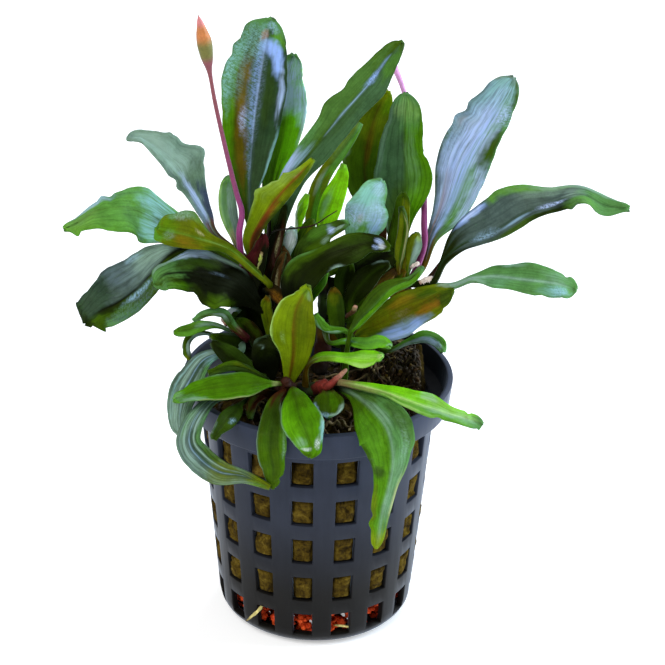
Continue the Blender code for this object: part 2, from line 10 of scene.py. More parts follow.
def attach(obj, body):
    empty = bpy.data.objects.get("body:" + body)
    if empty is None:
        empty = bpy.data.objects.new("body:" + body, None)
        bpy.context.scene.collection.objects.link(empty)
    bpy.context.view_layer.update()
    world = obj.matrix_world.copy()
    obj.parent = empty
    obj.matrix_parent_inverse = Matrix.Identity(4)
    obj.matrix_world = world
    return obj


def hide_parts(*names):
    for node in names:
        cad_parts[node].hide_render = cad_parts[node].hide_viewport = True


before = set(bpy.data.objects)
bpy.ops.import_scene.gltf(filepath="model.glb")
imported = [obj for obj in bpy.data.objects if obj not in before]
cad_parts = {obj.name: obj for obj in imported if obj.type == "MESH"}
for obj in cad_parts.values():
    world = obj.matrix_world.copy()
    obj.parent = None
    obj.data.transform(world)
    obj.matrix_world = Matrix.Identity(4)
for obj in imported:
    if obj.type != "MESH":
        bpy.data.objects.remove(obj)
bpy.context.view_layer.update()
mm = 0.001

palette = {
    "black": (11, 14, 5), "darkGreen": (24, 33, 4), "deep": (42, 64, 12), "moss": (58, 86, 8),
    "grass": (72, 124, 8), "leafGreen": (88, 146, 42), "bright": (108, 184, 16), "lime": (134, 204, 48),
    # vivid is painted light: the glow of leaves lit through from behind
    "paleLime": (172, 212, 120), "yellowGreen": (112, 136, 10), "vivid": (156, 240, 26),
    "olive": (94, 108, 8), "fern": (84, 134, 72), "sea": (106, 158, 118), "blueGreen": (60, 92, 58),
    "pine": (42, 66, 40), "slate": (72, 90, 86), "sage": (86, 114, 92), "greyGreen": (116, 144, 128),
    "mist": (152, 184, 172), "paleTeal": (140, 192, 196), "aqua": (150, 214, 210),
    # paleBlue, lavender and glare are the colours of painted reflections on the leaves
    "paleBlue": (156, 194, 226), "lavender": (150, 182, 250), "glare": (184, 208, 255),
    "steel": (100, 120, 138), "navy": (50, 56, 90), "brown": (92, 72, 10), "orange": (150, 100, 24),
    "rust": (112, 52, 18), "maroon": (56, 24, 12), "wine": (66, 18, 24), "red": (126, 44, 36),
    "pink": (190, 142, 118), "blush": (240, 222, 214), "cream": (206, 204, 150), "white": (232, 240, 246),
    "straw": (206, 192, 120), "yellow": (142, 168, 24), "tan": (128, 112, 76), "bark": (70, 48, 22),
    "peat": (38, 28, 9), "stalkPink": (126, 54, 92), "stalkRed": (130, 68, 76), "magenta": (134, 48, 106),
    "lilac": (214, 150, 206), "budGreen": (106, 104, 44), "budOrange": (188, 118, 66),
    "budPink": (200, 122, 122),
}


def linear(colour):
    # the shader's own colour from a 0 to 255 one
    values = []
    for value in colour:
        value = value / 255
        values.append(value / 12.92 if value <= 0.04045 else ((value + 0.055) / 1.055) ** 2.4)
    return Vector(values)


paints = {name: linear(colour) for name, colour in palette.items()}


def smooth(low, high, value):
    share = min(max((value - low) / (high - low), 0.0), 1.0)
    return share * share * (3 - 2 * share)


def grainAt(x, y, z):
    return noise.noise(Vector((x, y, z)))


def lonely():
    # nothing stays selected from the frame or the last piece
    if bpy.context.mode != "OBJECT":
        bpy.ops.object.mode_set(mode="OBJECT")
    bpy.ops.object.select_all(action="DESELECT")


def finishPiece(piece, name, material, nodes=()):
    piece.name = name
    piece.data.name = name
    piece.data.materials.clear()
    piece.data.materials.append(material)
    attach(piece, "root")
    if nodes:
        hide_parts(*nodes)


# Materials

def addNode(tree, kind, inputs=None, **settings):
    made = tree.nodes.new(kind)
    for key, value in settings.items():
        setattr(made, key, value)
    for key, value in (inputs or {}).items():
        if isinstance(value, bpy.types.NodeSocket):
            tree.links.new(value, made.inputs[key])
        else:
            made.inputs[key].default_value = value
    return made


def sums(tree, operation, first, second=0.5, third=0.5):
    made = addNode(tree, "ShaderNodeMath", {0: first, 1: second, 2: third}, operation=operation)
    return made.outputs[0]


def times(tree, first, second):
    return sums(tree, "MULTIPLY", first, second)


def timesPlus(tree, first, second, third):
    return sums(tree, "MULTIPLY_ADD", first, second, third)


def ranged(tree, value, low, high, newLow=0.0, newHigh=1.0):
    made = addNode(tree, "ShaderNodeMapRange", {"Value": value, "From Min": low, "From Max": high,
        "To Min": newLow, "To Max": newHigh}, interpolation_type="SMOOTHSTEP")
    return made.outputs["Result"]


def combined(tree, x, y, z=0.0):
    return addNode(tree, "ShaderNodeCombineXYZ", {"X": x, "Y": y, "Z": z}).outputs[0]


def mixed(tree, amount, first, second, way="MIX"):
    made = addNode(tree, "ShaderNodeMix", {"Factor": amount, 6: first, 7: second},
        data_type="RGBA", blend_type=way)
    return made.outputs[2]


def shaded(tree, colour, shade):
    # the colour made darker below 1 and lighter above it
    return mixed(tree, 1.0, colour, combined(tree, shade, shade, shade), "MULTIPLY")


def ramped(tree, value, steps):
    # a colour ramp from pairs of place and colour
    made = addNode(tree, "ShaderNodeValToRGB", {"Fac": value})
    while len(made.color_ramp.elements) < len(steps):
        made.color_ramp.elements.new(0.5)
    for element, (place, colour) in zip(made.color_ramp.elements, steps):
        element.position = place
        element.color = (*linear(colour), 1.0)
    return made.outputs["Color"]


def noiseAt(tree, vector, scale, detail=3.0, roughness=0.55, twist=0.0):
    made = addNode(tree, "ShaderNodeTexNoise", {"Vector": vector, "Scale": scale,
        "Detail": detail, "Roughness": roughness, "Distortion": twist})
    return made.outputs["Fac"]


def attribute(tree, name, output="Color"):
    return addNode(tree, "ShaderNodeAttribute", attribute_name=name).outputs[output]


def objectSpot(tree):
    return addNode(tree, "ShaderNodeTexCoord").outputs["Object"]


def newMaterial(name, roughness, specular, constants=None):
    material = bpy.data.materials.new(name)
    material.use_nodes = True
    tree = material.node_tree
    shader = tree.nodes["Principled BSDF"]
    shader.inputs["Roughness"].default_value = roughness
    shader.inputs["Specular IOR Level"].default_value = specular
    for key, value in (constants or {}).items():
        shader.inputs[key].default_value = value
    return material, tree, shader


def bumped(tree, shader, height, strength, distance):
    bump = addNode(tree, "ShaderNodeBump", {"Height": height, "Strength": strength,
        "Distance": distance})
    tree.links.new(bump.outputs["Normal"], shader.inputs["Normal"])


leafFinish = {
    "leaf_green": {"roughness": (0.3, 0.46), "specular": 0.06, "through": 0.1},
    "leaf_dark": {"roughness": (0.26, 0.4), "specular": 0.05, "through": 0.03},
    "leaf_olive": {"roughness": (0.36, 0.5), "specular": 0.05, "through": 0.1},
}
leafGrain = {"throughDepth": 0.6, "throughReach": (0.6, 1.0, 0.3), "glossTint": (0.8, 1.0, 0.45, 1.0),
    # how many veins and streaks lie side by side, and how far the veins wander
    "veins": 14.0, "veinWander": 9.0, "streaks": 13.0,
    # side veins: how many across, how steeply they climb and how close they lie
    "sideAcross": 4.0, "sideClimb": -2.6, "sideAlong": 3.2,
    "mottle": 420.0, "fine": 2600.0, "speckle": 2400.0,
    # darkest and lightest shade that each gives the leaf's own colour
    "veinShade": (0.55, 1.06), "mottleShade": (0.84, 1.16), "fineShade": (0.93, 1.07),
    "streakShade": (0.84, 1.14), "bump": 0.35, "bumpHeight": 0.25}


def leafMaterial(name):
    finish = leafFinish[name]
    grain = leafGrain
    material, tree, shader = newMaterial(name, 0.4, finish["specular"], {
        "Subsurface Weight": finish["through"], "Subsurface Scale": grain["throughDepth"] * mm,
        "Subsurface Radius": grain["throughReach"], "Specular Tint": grain["glossTint"]})
    across = attribute(tree, "across", "Fac")
    reach = attribute(tree, "reach", "Fac")
    veins = attribute(tree, "veins", "Fac")
    way = addNode(tree, "ShaderNodeSeparateColor", {"Color": attribute(tree, "paintedSheenWay")}).outputs
    spot = objectSpot(tree)
    # veins run from foot to tip and wander a little
    wander = noiseAt(tree, combined(tree, times(tree, across, 2.0), times(tree, reach, 0.12)), 1.0, 2.0)
    phase = timesPlus(tree, across, grain["veins"], times(tree, wander, grain["veinWander"]))
    line = sums(tree, "POWER", sums(tree, "ABSOLUTE", sums(tree, "SINE", phase)), 0.55)
    thin = combined(tree, times(tree, across, grain["streaks"]), times(tree, reach, 0.16))
    streaks = noiseAt(tree, thin, 1.0, 4.0, 0.6, 0.3)
    # side veins climb from the midrib to the margin
    climb = timesPlus(tree, sums(tree, "ABSOLUTE", across), grain["sideClimb"], reach)
    wide = combined(tree, times(tree, across, grain["sideAcross"]), times(tree, climb, grain["sideAlong"]))
    ripples = noiseAt(tree, wide, 1.0, 4.0, 0.65, 0.8)
    mottle = noiseAt(tree, spot, grain["mottle"], 5.0, 0.6)
    fine = noiseAt(tree, spot, grain["fine"], 3.0, 0.6)
    speckle = noiseAt(tree, spot, grain["speckle"], 4.0, 0.7, 0.4)
    # the leaf's own colour
    shade = ranged(tree, line, 0.0, 1.0, *grain["veinShade"])
    shade = timesPlus(tree, sums(tree, "SUBTRACT", shade, 1.0), veins, 1.0)
    shade = times(tree, shade, ranged(tree, mottle, 0.3, 0.7, *grain["mottleShade"]))
    shade = times(tree, shade, ranged(tree, fine, 0.3, 0.7, *grain["fineShade"]))
    shade = times(tree, shade, ranged(tree, streaks, 0.25, 0.75, *grain["streakShade"]))
    colour = shaded(tree, attribute(tree, "paint"), shade)
    # painted sheen: pale reflections of the light painted into the colour, broken up along the veins or
    # across them, or smooth
    alongPart = ranged(tree, streaks, 0.28, 0.62, 0.25, 1.0)
    acrossPart = ranged(tree, sums(tree, "ADD", ripples, speckle), 0.82, 1.18, 0.14, 1.0)
    smoothPart = ranged(tree, mottle, 0.2, 0.5, 0.8, 1.0)
    broken = addNode(tree, "ShaderNodeMix", {0: way[0], 2: alongPart, 3: acrossPart}).outputs[0]
    broken = addNode(tree, "ShaderNodeMix", {0: way[1], 2: broken, 3: smoothPart}).outputs[0]
    broken = times(tree, broken, timesPlus(tree, sums(tree, "SUBTRACT", line, 1.0),
        times(tree, veins, 0.7), 1.0))
    amount = times(tree, broken, attribute(tree, "paintedSheen", "Alpha"))
    colour = mixed(tree, amount, colour, attribute(tree, "paintedSheen"))
    tree.links.new(colour, shader.inputs["Base Color"])
    tree.links.new(ranged(tree, mottle, 0.3, 0.7, *finish["roughness"]), shader.inputs["Roughness"])
    height = timesPlus(tree, line, times(tree, veins, 0.6),
        timesPlus(tree, ripples, 0.7, times(tree, fine, 0.3)))
    bumped(tree, shader, height, grain["bump"], grain["bumpHeight"] * mm)
    return material


def paintedMaterial(name, roughness, specular, scale, depth):
    # stems, stalks and roots: painted along their length, with fibres and pits
    material, tree, shader = newMaterial(name, roughness, specular)
    spot = objectSpot(tree)
    mottle = noiseAt(tree, spot, scale, 5.0, 0.65)
    fine = noiseAt(tree, spot, scale * 4, 4.0, 0.7)
    shade = times(tree, ranged(tree, mottle, 0.25, 0.75, 1 - depth, 1 + depth),
        ranged(tree, fine, 0.25, 0.75, 0.88, 1.12))
    tree.links.new(shaded(tree, attribute(tree, "paint"), shade), shader.inputs["Base Color"])
    tree.links.new(ranged(tree, fine, 0.3, 0.7, roughness - 0.08, roughness + 0.1),
        shader.inputs["Roughness"])
    bumped(tree, shader, sums(tree, "ADD", mottle, times(tree, fine, 0.4)), 0.5, 0.2 * mm)
    return material


def rampedMaterial(name, roughness, specular, scale, steps, relief, top=None):
    # a colour ramp over two sizes of grain, for the wool and the plant food;
    # top is painted shade for the wool's top under the leaves: the height from which it gets darker, where
    # it is darkest, and how dark
    material, tree, shader = newMaterial(name, roughness, specular)
    spot = objectSpot(tree)
    coarse = noiseAt(tree, spot, scale, 6.0, 0.7, 0.6)
    fine = noiseAt(tree, spot, scale * 4, 5.0, 0.7)
    value = timesPlus(tree, fine, 0.35, times(tree, coarse, 0.65))
    colour = ramped(tree, value, steps)
    if top:
        height = addNode(tree, "ShaderNodeSeparateXYZ", {"Vector": spot}).outputs["Z"]
        colour = shaded(tree, colour, ranged(tree, height, top[0] * mm, top[1] * mm, 1.0, top[2]))
    tree.links.new(colour, shader.inputs["Base Color"])
    bumped(tree, shader, value, 0.9, relief * mm)
    return material


# Leaves

def leaf(turn, fold, path, left, right, foot, tip, rib, veins=0.3, patches=(), paintedSheens=(), wave=0.35,
        blunt=1.0, nicks=()):
    # path rows: place of the rib, then the blade's half widths to its left and right;
    # patch and painted sheen rows: place along and across the blade, half sizes there, colour, strength,
    # and for a painted sheen, a pale reflection of the light painted on, whether it follows the veins,
    # lies across them or is smooth;
    # nick rows: side, place along, how far the margin stands out or in, half size
    return {"turn": turn, "fold": fold, "path": path, "left": left, "right": right,
        "foot": foot, "tip": tip, "rib": rib, "veins": veins, "patches": patches,
        "paintedSheens": paintedSheens, "wave": wave, "blunt": blunt, "nicks": nicks}


leaves = {
    "tall": leaf(0, 8, [(-10.5, 5, 67, 0.6, 0.6), (-13, 8, 77.5, 1.3, 0.7), (-13, 12, 85, 4.4, 3.3),
        (-12.5, 15, 92.5, 5.9, 5), (-11.5, 17, 100.5, 6.8, 5), (-10.5, 17.5, 107, 4.6, 3.8),
        (-9.5, 17, 111.5, 0.5, 0.5)],
        left="moss", right="pine", foot=("brown", 0.08), tip=("fern", 0.9), rib=("steel", 0.25),
        nicks=[(-1, 0.8, 0.4, 0.04), (-1, 0.74, -0.4, 0.03)],
        patches=[(0.22, -0.4, 0.14, 0.6, "deep", 0.6), (0.6, -0.45, 0.18, 0.24, "brown", 0.6),
        (0.38, -0.4, 0.14, 0.24, "brown", 0.75), (0.55, -0.42, 0.08, 0.1, "orange", 0.2),
        (0.68, -0.35, 0.05, 0.1, "orange", 0.2), (0.62, -0.75, 0.2, 0.14, "grass", 0.7),
        (0.5, -0.9, 0.22, 0.2, "grass", 0.8), (0.86, 0.6, 0.07, 0.4, "leafGreen", 0.85),
        (0.87, -0.1, 0.04, 0.16, "pink", 0.6), (0.75, -0.85, 0.2, 0.2, "fern", 0.6),
        (0.6, 0.35, 0.12, 0.25, "deep", 0.6)],
        paintedSheens=[(0.68, -0.88, 0.13, 0.13, "paleTeal", 0.8, "cross"),
        (0.7, -0.6, 0.14, 0.2, "paleTeal", 0.35, "cross"),
        (0.84, -0.5, 0.1, 0.5, "paleTeal", 0.62, "cross"),
        (0.95, 0.3, 0.04, 0.4, "paleBlue", 0.7, "cross"), (0.5, -0.36, 0.05, 0.12, "glare", 0.6, "cross"),
        (0.62, 0.1, 0.2, 0.12, "steel", 0.6, "cross"), (0.62, -0.08, 0.28, 0.1, "lavender", 0.6, "cross"),
        (0.62, -0.01, 0.26, 0.014, "glare", 0.7, "smooth"),
        (0.64, -0.2, 0.25, 0.12, "lavender", 0.25, "cross"),
        (0.81, 0.3, 0.045, 0.4, "lavender", 1.0, "smooth"),
        (0.76, 0.62, 0.08, 0.22, "lavender", 1.0, "smooth"), (0.62, 0.82, 0.1, 0.1, "glare", 0.8, "veins"),
        (0.36, 0.95, 0.1, 0.08, "paleTeal", 0.7, "smooth")]),
    "tall_behind": leaf(10, 8, [(-9.5, 9, 67, 0.6, 0.6), (-9.5, 14.5, 78, 1.5, 1.1),
        (-7.5, 20, 87, 3.9, 3.2), (-7, 22, 93, 4.3, 4.1), (-6.5, 23, 98.5, 2.7, 2.6),
        (-5.5, 23.5, 102.5, 0.6, 0.6)],
        left="grass", right="bright", foot=("moss", 0.26), tip=("fern", 0.93), rib=("moss", 0.4),
        patches=[(0.35, 0.8, 0.15, 0.3, "bright", 0.5), (0.3, -0.6, 0.2, 0.5, "deep", 0.5)],
        paintedSheens=[(0.7, -0.1, 0.13, 0.8, "glare", 0.75, "smooth"),
        (0.64, 0.8, 0.15, 0.35, "glare", 0.7, "veins"), (0.86, 0.3, 0.1, 0.8, "glare", 0.7, "veins"),
        (0.5, 0.95, 0.12, 0.15, "mist", 0.8, "smooth")]),
    "left_back": leaf(20, 10, [(-13, 9, 67, 0.6, 0.6), (-19.5, 14, 70, 0.6, 0.7),
        (-21.5, 16, 73.5, 1.5, 1.3), (-24.5, 18, 78, 1.9, 3.2), (-27, 20, 81.5, 2.8, 5.1),
        (-30.5, 21, 84.5, 1.9, 3.2), (-33.5, 22, 86, 1.1, 1.7), (-36.5, 22, 86, 0.4, 0.4)],
        left="greyGreen", right="greyGreen", foot=("maroon", 0.2), tip=("greyGreen", 0.9),
        rib=("sage", 0.5),
        nicks=[(1, 0.56, 1.1, 0.05), (1, 0.63, -0.8, 0.05), (1, 0.72, 0.4, 0.03), (-1, 0.5, -0.5, 0.04),
        (-1, 0.45, 0.5, 0.03)],
        patches=[(0.45, 0.0, 0.09, 1.3, "sage", 0.8), (0.3, 0.7, 0.12, 0.6, "navy", 0.9),
        (0.25, -0.5, 0.14, 0.6, "steel", 0.9), (0.2, 0.0, 0.05, 1.0, "rust", 0.7),
        (0.75, 0.7, 0.15, 0.3, "sage", 0.5), (0.55, -0.8, 0.1, 0.2, "slate", 0.6)],
        paintedSheens=[(0.36, -0.2, 0.14, 0.3, "glare", 0.85, "veins"),
        (0.78, 0.0, 0.2, 0.8, "mist", 0.75, "smooth"), (0.56, -0.1, 0.08, 0.5, "mist", 0.6, "veins")]),
    "left_green": leaf(30, 8, [(-13.5, 6.5, 67, 0.6, 0.6), (-20.5, 7.5, 70.5, 0.8, 0.7),
        (-28.5, 7, 75, 4.2, 4), (-33, 4.5, 78.5, 6, 4.9), (-36.5, 2, 80.5, 5.5, 2.9),
        (-40.5, 1, 80, 4.3, 1.6), (-44, 0, 78, 2.3, 1), (-46, -1, 77.5, 0.5, 0.4)],
        left="leafGreen", right="leafGreen", foot=("moss", 0.2), tip=("leafGreen", 0.97),
        rib=("moss", 0.35), veins=0.5,
        nicks=[(1, 0.66, 0.5, 0.03), (1, 0.61, -0.4, 0.03), (-1, 0.9, 0.6, 0.05)],
        patches=[(0.85, 0.3, 0.12, 0.6, "fern", 0.5), (0.6, 0.85, 0.2, 0.22, "fern", 0.8),
        (0.29, -0.2, 0.06, 0.9, "moss", 0.7), (0.46, -0.3, 0.08, 0.7, "fern", 0.6),
        (0.62, 0.0, 0.2, 1.0, "fern", 0.45)],
        paintedSheens=[(0.34, -0.5, 0.09, 0.5, "paleTeal", 1.0, "veins"),
        (0.34, 0.55, 0.09, 0.5, "paleTeal", 0.9, "veins"),
        (0.75, 0.85, 0.16, 0.22, "glare", 0.5, "smooth"),
        (0.86, 0.0, 0.16, 1.0, "paleLime", 0.14, "smooth")]),
    "left_olive": leaf(25, 10, [(-9, -1, 67, 0.6, 0.6), (-12.5, -2, 71, 0.8, 0.7),
        (-16.5, -2, 74.5, 1.1, 0.9), (-20.5, -2, 76, 2, 1.9), (-24, -2, 77, 2.8, 4.6),
        (-27.5, -1, 77.5, 3.1, 3.3), (-29.5, 0, 77.5, 1.1, 1.1)],
        left="olive", right="olive", foot=("olive", 0.1), tip=("leafGreen", 0.96), rib=("leafGreen", 0.5),
        veins=0.35,
        patches=[(0.15, 0.7, 0.08, 0.5, "deep", 0.85), (0.4, -0.75, 0.1, 0.45, "moss", 0.9),
        (0.3, 0.6, 0.1, 0.4, "moss", 0.6), (0.68, -0.3, 0.08, 0.35, "orange", 0.3),
        (0.62, -0.75, 0.1, 0.3, "rust", 0.3), (0.86, 0.0, 0.1, 1.0, "grass", 0.55),
        (0.9, -0.8, 0.08, 0.3, "leafGreen", 0.9), (0.74, 0.9, 0.2, 0.2, "fern", 0.8)],
        paintedSheens=[(0.8, -0.3, 0.05, 0.3, "mist", 0.35, "cross"), (0.76, 0.8, 0.1, 0.2, "mist", 0.6, "cross"),
        (0.56, 0.35, 0.04, 0.1, "cream", 0.7, "cross"), (0.3, 0.0, 0.25, 0.14, "paleLime", 0.3, "veins")]),
    "left_dark": leaf(0, -25, [(-11.5, 2, 66.5, 0.6, 0.6), (-21, 1, 72.5, 0.6, 0.8),
        (-25.5, 0.5, 73, 1.6, 1), (-29, 0, 70.5, 2.4, 4.4), (-32.5, -1, 66.5, 3.4, 6.4),
        (-36.5, -2, 63.5, 3.8, 7.2), (-40, -3, 62, 3.6, 4.8), (-42.5, -4, 60, 1, 1.2)],
        left="moss", right="slate", foot=("deep", 0.26), tip=("moss", 0.96), rib=("black", 1.0), veins=0.6,
        wave=0.25,
        nicks=[(-1, 0.93, 1.0, 0.03), (-1, 0.97, -0.9, 0.02), (1, 0.95, 0.6, 0.03)],
        # the first, grey-green patch is a painted highlight on the upper half near the foot
        patches=[(0.4, 0.65, 0.14, 0.5, "greyGreen", 0.9), (0.88, 0.5, 0.16, 0.7, "pine", 0.75),
        (0.75, -0.9, 0.14, 0.3, "fern", 0.8), (0.78, -0.12, 0.1, 0.2, "darkGreen", 0.85),
        (0.3, -0.5, 0.12, 0.8, "darkGreen", 0.8), (0.5, 0.1, 0.1, 0.12, "slate", 0.6),
        (0.99, 0.0, 0.05, 1.2, "black", 0.7)],
        paintedSheens=[(0.6, -0.25, 0.09, 0.14, "paleBlue", 0.8, "cross"),
        (0.68, -0.7, 0.16, 0.3, "steel", 0.5, "cross"), (0.46, -0.85, 0.06, 0.2, "mist", 0.5, "cross"),
        (0.72, -0.5, 0.06, 0.25, "fern", 0.6, "cross"), (0.5, 0.85, 0.06, 0.12, "paleBlue", 0.6, "cross"),
        (0.46, 0.5, 0.14, 0.5, "mist", 0.4, "veins"), (0.62, 0.6, 0.1, 0.4, "steel", 0.4, "veins")]),
    "left_wide": leaf(35, -10, [(-9, -2, 61, 0.6, 0.6), (-11.5, -3, 64.5, 1.5, 1.4),
        (-15, -5, 69, 4.8, 4.3), (-19.5, -6, 71, 6.1, 5.8), (-24, -7, 72, 3.9, 5.3),
        (-27.5, -7, 71.5, 3.3, 3.3), (-29.5, -7, 69.5, 1.4, 1.8)],
        # black on this leaf is partly painted shadow from left_dark lying over it, partly its own dark
        # colour
        left="black", right="black", foot=("black", 0.25), tip=("fern", 0.95), rib=("black", 1.0),
        veins=0.8,
        nicks=[(-1, 0.6, -1.0, 0.06), (-1, 0.45, 0.5, 0.06)],
        patches=[(0.92, -0.3, 0.2, 0.9, "moss", 0.9), (0.9, -0.8, 0.16, 0.4, "fern", 0.7),
        (0.72, -0.85, 0.14, 0.3, "grass", 0.5), (0.42, -0.9, 0.12, 0.3, "moss", 0.95),
        (0.58, -0.85, 0.08, 0.3, "darkGreen", 0.9), (0.82, 0.5, 0.2, 0.8, "fern", 0.75),
        # the grey-green patch by the right margin is a painted highlight
        (0.66, 0.35, 0.1, 0.3, "deep", 0.9), (0.62, 0.88, 0.24, 0.16, "greyGreen", 0.8),
        (0.52, 0.5, 0.08, 0.3, "deep", 0.7)],
        paintedSheens=[(0.62, 0.85, 0.15, 0.18, "glare", 0.8, "veins"),
        (0.44, 0.9, 0.14, 0.14, "greyGreen", 0.8, "smooth"), (0.86, 0.85, 0.1, 0.15, "mist", 0.7, "veins"),
        (0.44, 0.1, 0.06, 0.06, "steel", 0.6, "cross")]),
    "young_left": leaf(0, 15, [(-13.5, 2, 69.5, 0.4, 0.4), (-15, 4, 72.5, 0.6, 0.4),
        (-16.5, 5, 78, 1.7, 1.5), (-17, 5.5, 83, 1.5, 1.3), (-16.5, 5.5, 85.5, 0.4, 0.4)],
        left="grass", right="slate", foot=("maroon", 0.3), tip=("fern", 0.9), rib=("slate", 0.3),
        veins=0.2, blunt=0.3,
        patches=[(0.3, -0.3, 0.1, 0.7, "pink", 0.4), (0.75, 0.5, 0.2, 0.5, "fern", 0.6)],
        paintedSheens=[(0.6, -0.5, 0.3, 0.5, "mist", 0.25, "smooth"), (0.5, 0.1, 0.2, 0.3, "mist", 0.4, "veins"),
        (0.6, -0.9, 0.3, 0.14, "paleLime", 0.6, "smooth"),
        (0.6, 0.5, 0.25, 0.4, "greyGreen", 0.7, "veins")]),
    "wavy": leaf(0, 20, [(-12, 1, 70.5, 0.6, 0.6), (-12.5, 0, 75, 1.5, 1.2), (-11, -1, 79, 2.3, 1.3),
        (-8.5, -2, 83.5, 3.2, 1.7), (-6, -2.5, 87, 2.5, 1.7), (-3.5, -3, 90, 1.1, 1.1),
        (-1.5, -3, 92.5, 0.4, 0.4)],
        left="yellowGreen", right="olive", foot=("maroon", 0.1), tip=("yellowGreen", 0.97),
        rib=("rust", 0.9), veins=0.25, wave=0.7, blunt=0.0,
        nicks=[(-1, 0.53, 0.9, 0.06), (-1, 0.66, -0.5, 0.05), (-1, 0.74, 0.4, 0.03)],
        patches=[(0.24, -0.5, 0.14, 0.8, "yellowGreen", 0.85), (0.26, 0.5, 0.2, 0.6, "maroon", 0.95),
        (0.42, 0.35, 0.12, 0.3, "rust", 0.75), (0.45, 0.85, 0.15, 0.3, "deep", 0.8),
        (0.8, -0.15, 0.05, 0.2, "pink", 0.3), (0.86, 0.6, 0.14, 0.4, "moss", 0.8)],
        paintedSheens=[(0.6, -0.94, 0.35, 0.08, "paleLime", 0.7, "smooth"),
        (0.7, -0.6, 0.2, 0.3, "paleLime", 0.2, "veins")]),
    "arching_dark": leaf(-10, 12, [(-9.5, 3, 67, 0.7, 0.7), (-8, 3, 77, 1.6, 1.7), (-5.5, 2, 86.5, 2, 2.7),
        (-0.5, 1, 94, 2.7, 3.3), (4, 0, 100.5, 3.3, 3.2), (8.5, -1, 106.5, 3, 3.4),
        (11.5, -2, 111.5, 1.9, 2.1), (13.5, -3, 114.5, 0.4, 0.4)],
        left="moss", right="blueGreen", foot=("deep", 0.1), tip=("moss", 0.96), rib=("deep", 0.6),
        veins=0.35,
        nicks=[(-1, 0.62, -0.4, 0.04), (-1, 0.55, 0.4, 0.05)],
        patches=[(0.2, 0.0, 0.1, 1.0, "pine", 0.7), (0.6, -0.6, 0.3, 0.6, "fern", 0.4),
        (0.4, -0.85, 0.08, 0.3, "fern", 0.8), (0.55, 0.3, 0.1, 0.3, "deep", 0.4),
        (0.86, 0.6, 0.1, 0.5, "grass", 0.5)],
        paintedSheens=[(0.29, -0.7, 0.08, 0.35, "glare", 0.9, "smooth"),
        (0.36, -0.35, 0.05, 0.2, "paleBlue", 0.7, "veins"),
        (0.73, -0.06, 0.04, 0.16, "lavender", 0.9, "cross"),
        (0.8, -0.05, 0.08, 0.08, "lavender", 0.7, "veins"),
        (0.6, -0.02, 0.12, 0.05, "paleBlue", 0.8, "veins")]),
    "brown_behind": leaf(0, 10, [(12, 9, 67, 0.6, 0.6), (10, 15, 74.5, 2.3, 2.3), (8, 18, 81, 3.8, 2.6),
        (8.5, 20, 87, 4.5, 3.4), (10, 21, 92.5, 3, 2.6), (12, 21, 96.5, 0.4, 0.4)],
        left="moss", right="moss", foot=("maroon", 0.2), tip=("yellowGreen", 0.9), rib=("maroon", 0.5),
        patches=[(0.6, 0.1, 0.14, 0.2, "brown", 0.7), (0.3, 0.0, 0.1, 0.35, "deep", 0.8),
        (0.8, 0.0, 0.2, 1.2, "olive", 0.5), (0.9, 0.6, 0.1, 0.4, "grass", 0.4)],
        paintedSheens=[(0.6, -0.9, 0.12, 0.2, "mist", 0.5, "smooth"),
        (0.72, -0.95, 0.1, 0.1, "fern", 0.6, "smooth")]),
    "right_tall": leaf(0, 12, [(14, 5, 67, 0.6, 0.6), (14.5, 7, 72, 1.9, 1.1), (15, 9.5, 76.5, 3.8, 2.3),
        (15.5, 12, 82.5, 6, 4.9), (15, 14, 88, 4.9, 3.7), (15, 15, 93.5, 3, 3.2),
        (15, 15, 98.5, 0.6, 0.6)],
        left="blueGreen", right="grass", foot=("moss", 0.1), tip=("fern", 0.93), rib=("deep", 0.5),
        veins=0.7,
        nicks=[(1, 0.63, -0.3, 0.03)],
        patches=[(0.22, -0.6, 0.1, 0.6, "moss", 0.8), (0.36, -0.2, 0.14, 0.5, "moss", 0.6),
        (0.34, 0.5, 0.14, 0.5, "bright", 0.3), (0.85, 0.2, 0.1, 0.6, "fern", 0.7),
        (0.75, -0.9, 0.2, 0.15, "sage", 0.6)],
        paintedSheens=[(0.9, 0.1, 0.08, 0.8, "paleLime", 0.3, "veins"),
        (0.29, -0.95, 0.06, 0.1, "mist", 0.7, "smooth"), (0.6, 0.3, 0.16, 0.3, "mist", 0.18, "veins")]),
    "right_pale": leaf(-10, 8, [(19, 7, 67.5, 0.6, 0.6), (20.5, 9, 72.5, 1.1, 1.3), (23, 11, 78, 2.4, 4.3),
        (25.5, 13, 85.5, 4.6, 5.4), (29, 15, 91.5, 5.1, 4.4), (32, 15, 97, 3.6, 3.3),
        (34.5, 14.5, 102, 0.5, 0.6)],
        # steel, its base colour, is partly painted reflection: the blue-grey under the painted sheens
        left="steel", right="fern", foot=("brown", 0.16), tip=("greyGreen", 0.94), rib=("steel", 0.6),
        veins=0.45,
        nicks=[(-1, 0.71, -0.5, 0.04), (-1, 0.66, 0.4, 0.04)],
        patches=[(0.2, 0.0, 0.07, 1.0, "slate", 0.6), (0.58, 0.65, 0.06, 0.3, "moss", 1.0),
        (0.66, 0.8, 0.06, 0.2, "deep", 0.9), (0.92, 0.75, 0.09, 0.2, "moss", 0.9),
        (0.36, 0.5, 0.12, 0.2, "leafGreen", 0.7), (0.5, -0.96, 0.4, 0.06, "moss", 0.9),
        (0.94, 0.2, 0.06, 0.3, "moss", 0.8), (0.46, 0.85, 0.1, 0.14, "moss", 0.8)],
        paintedSheens=[(0.5, -0.15, 0.24, 0.7, "glare", 1.0, "veins"),
        (0.5, 0.14, 0.34, 0.16, "lavender", 0.9, "smooth"),
        (0.42, -0.3, 0.2, 0.1, "lavender", 0.7, "smooth"), (0.72, 0.0, 0.2, 0.6, "glare", 1.0, "veins"),
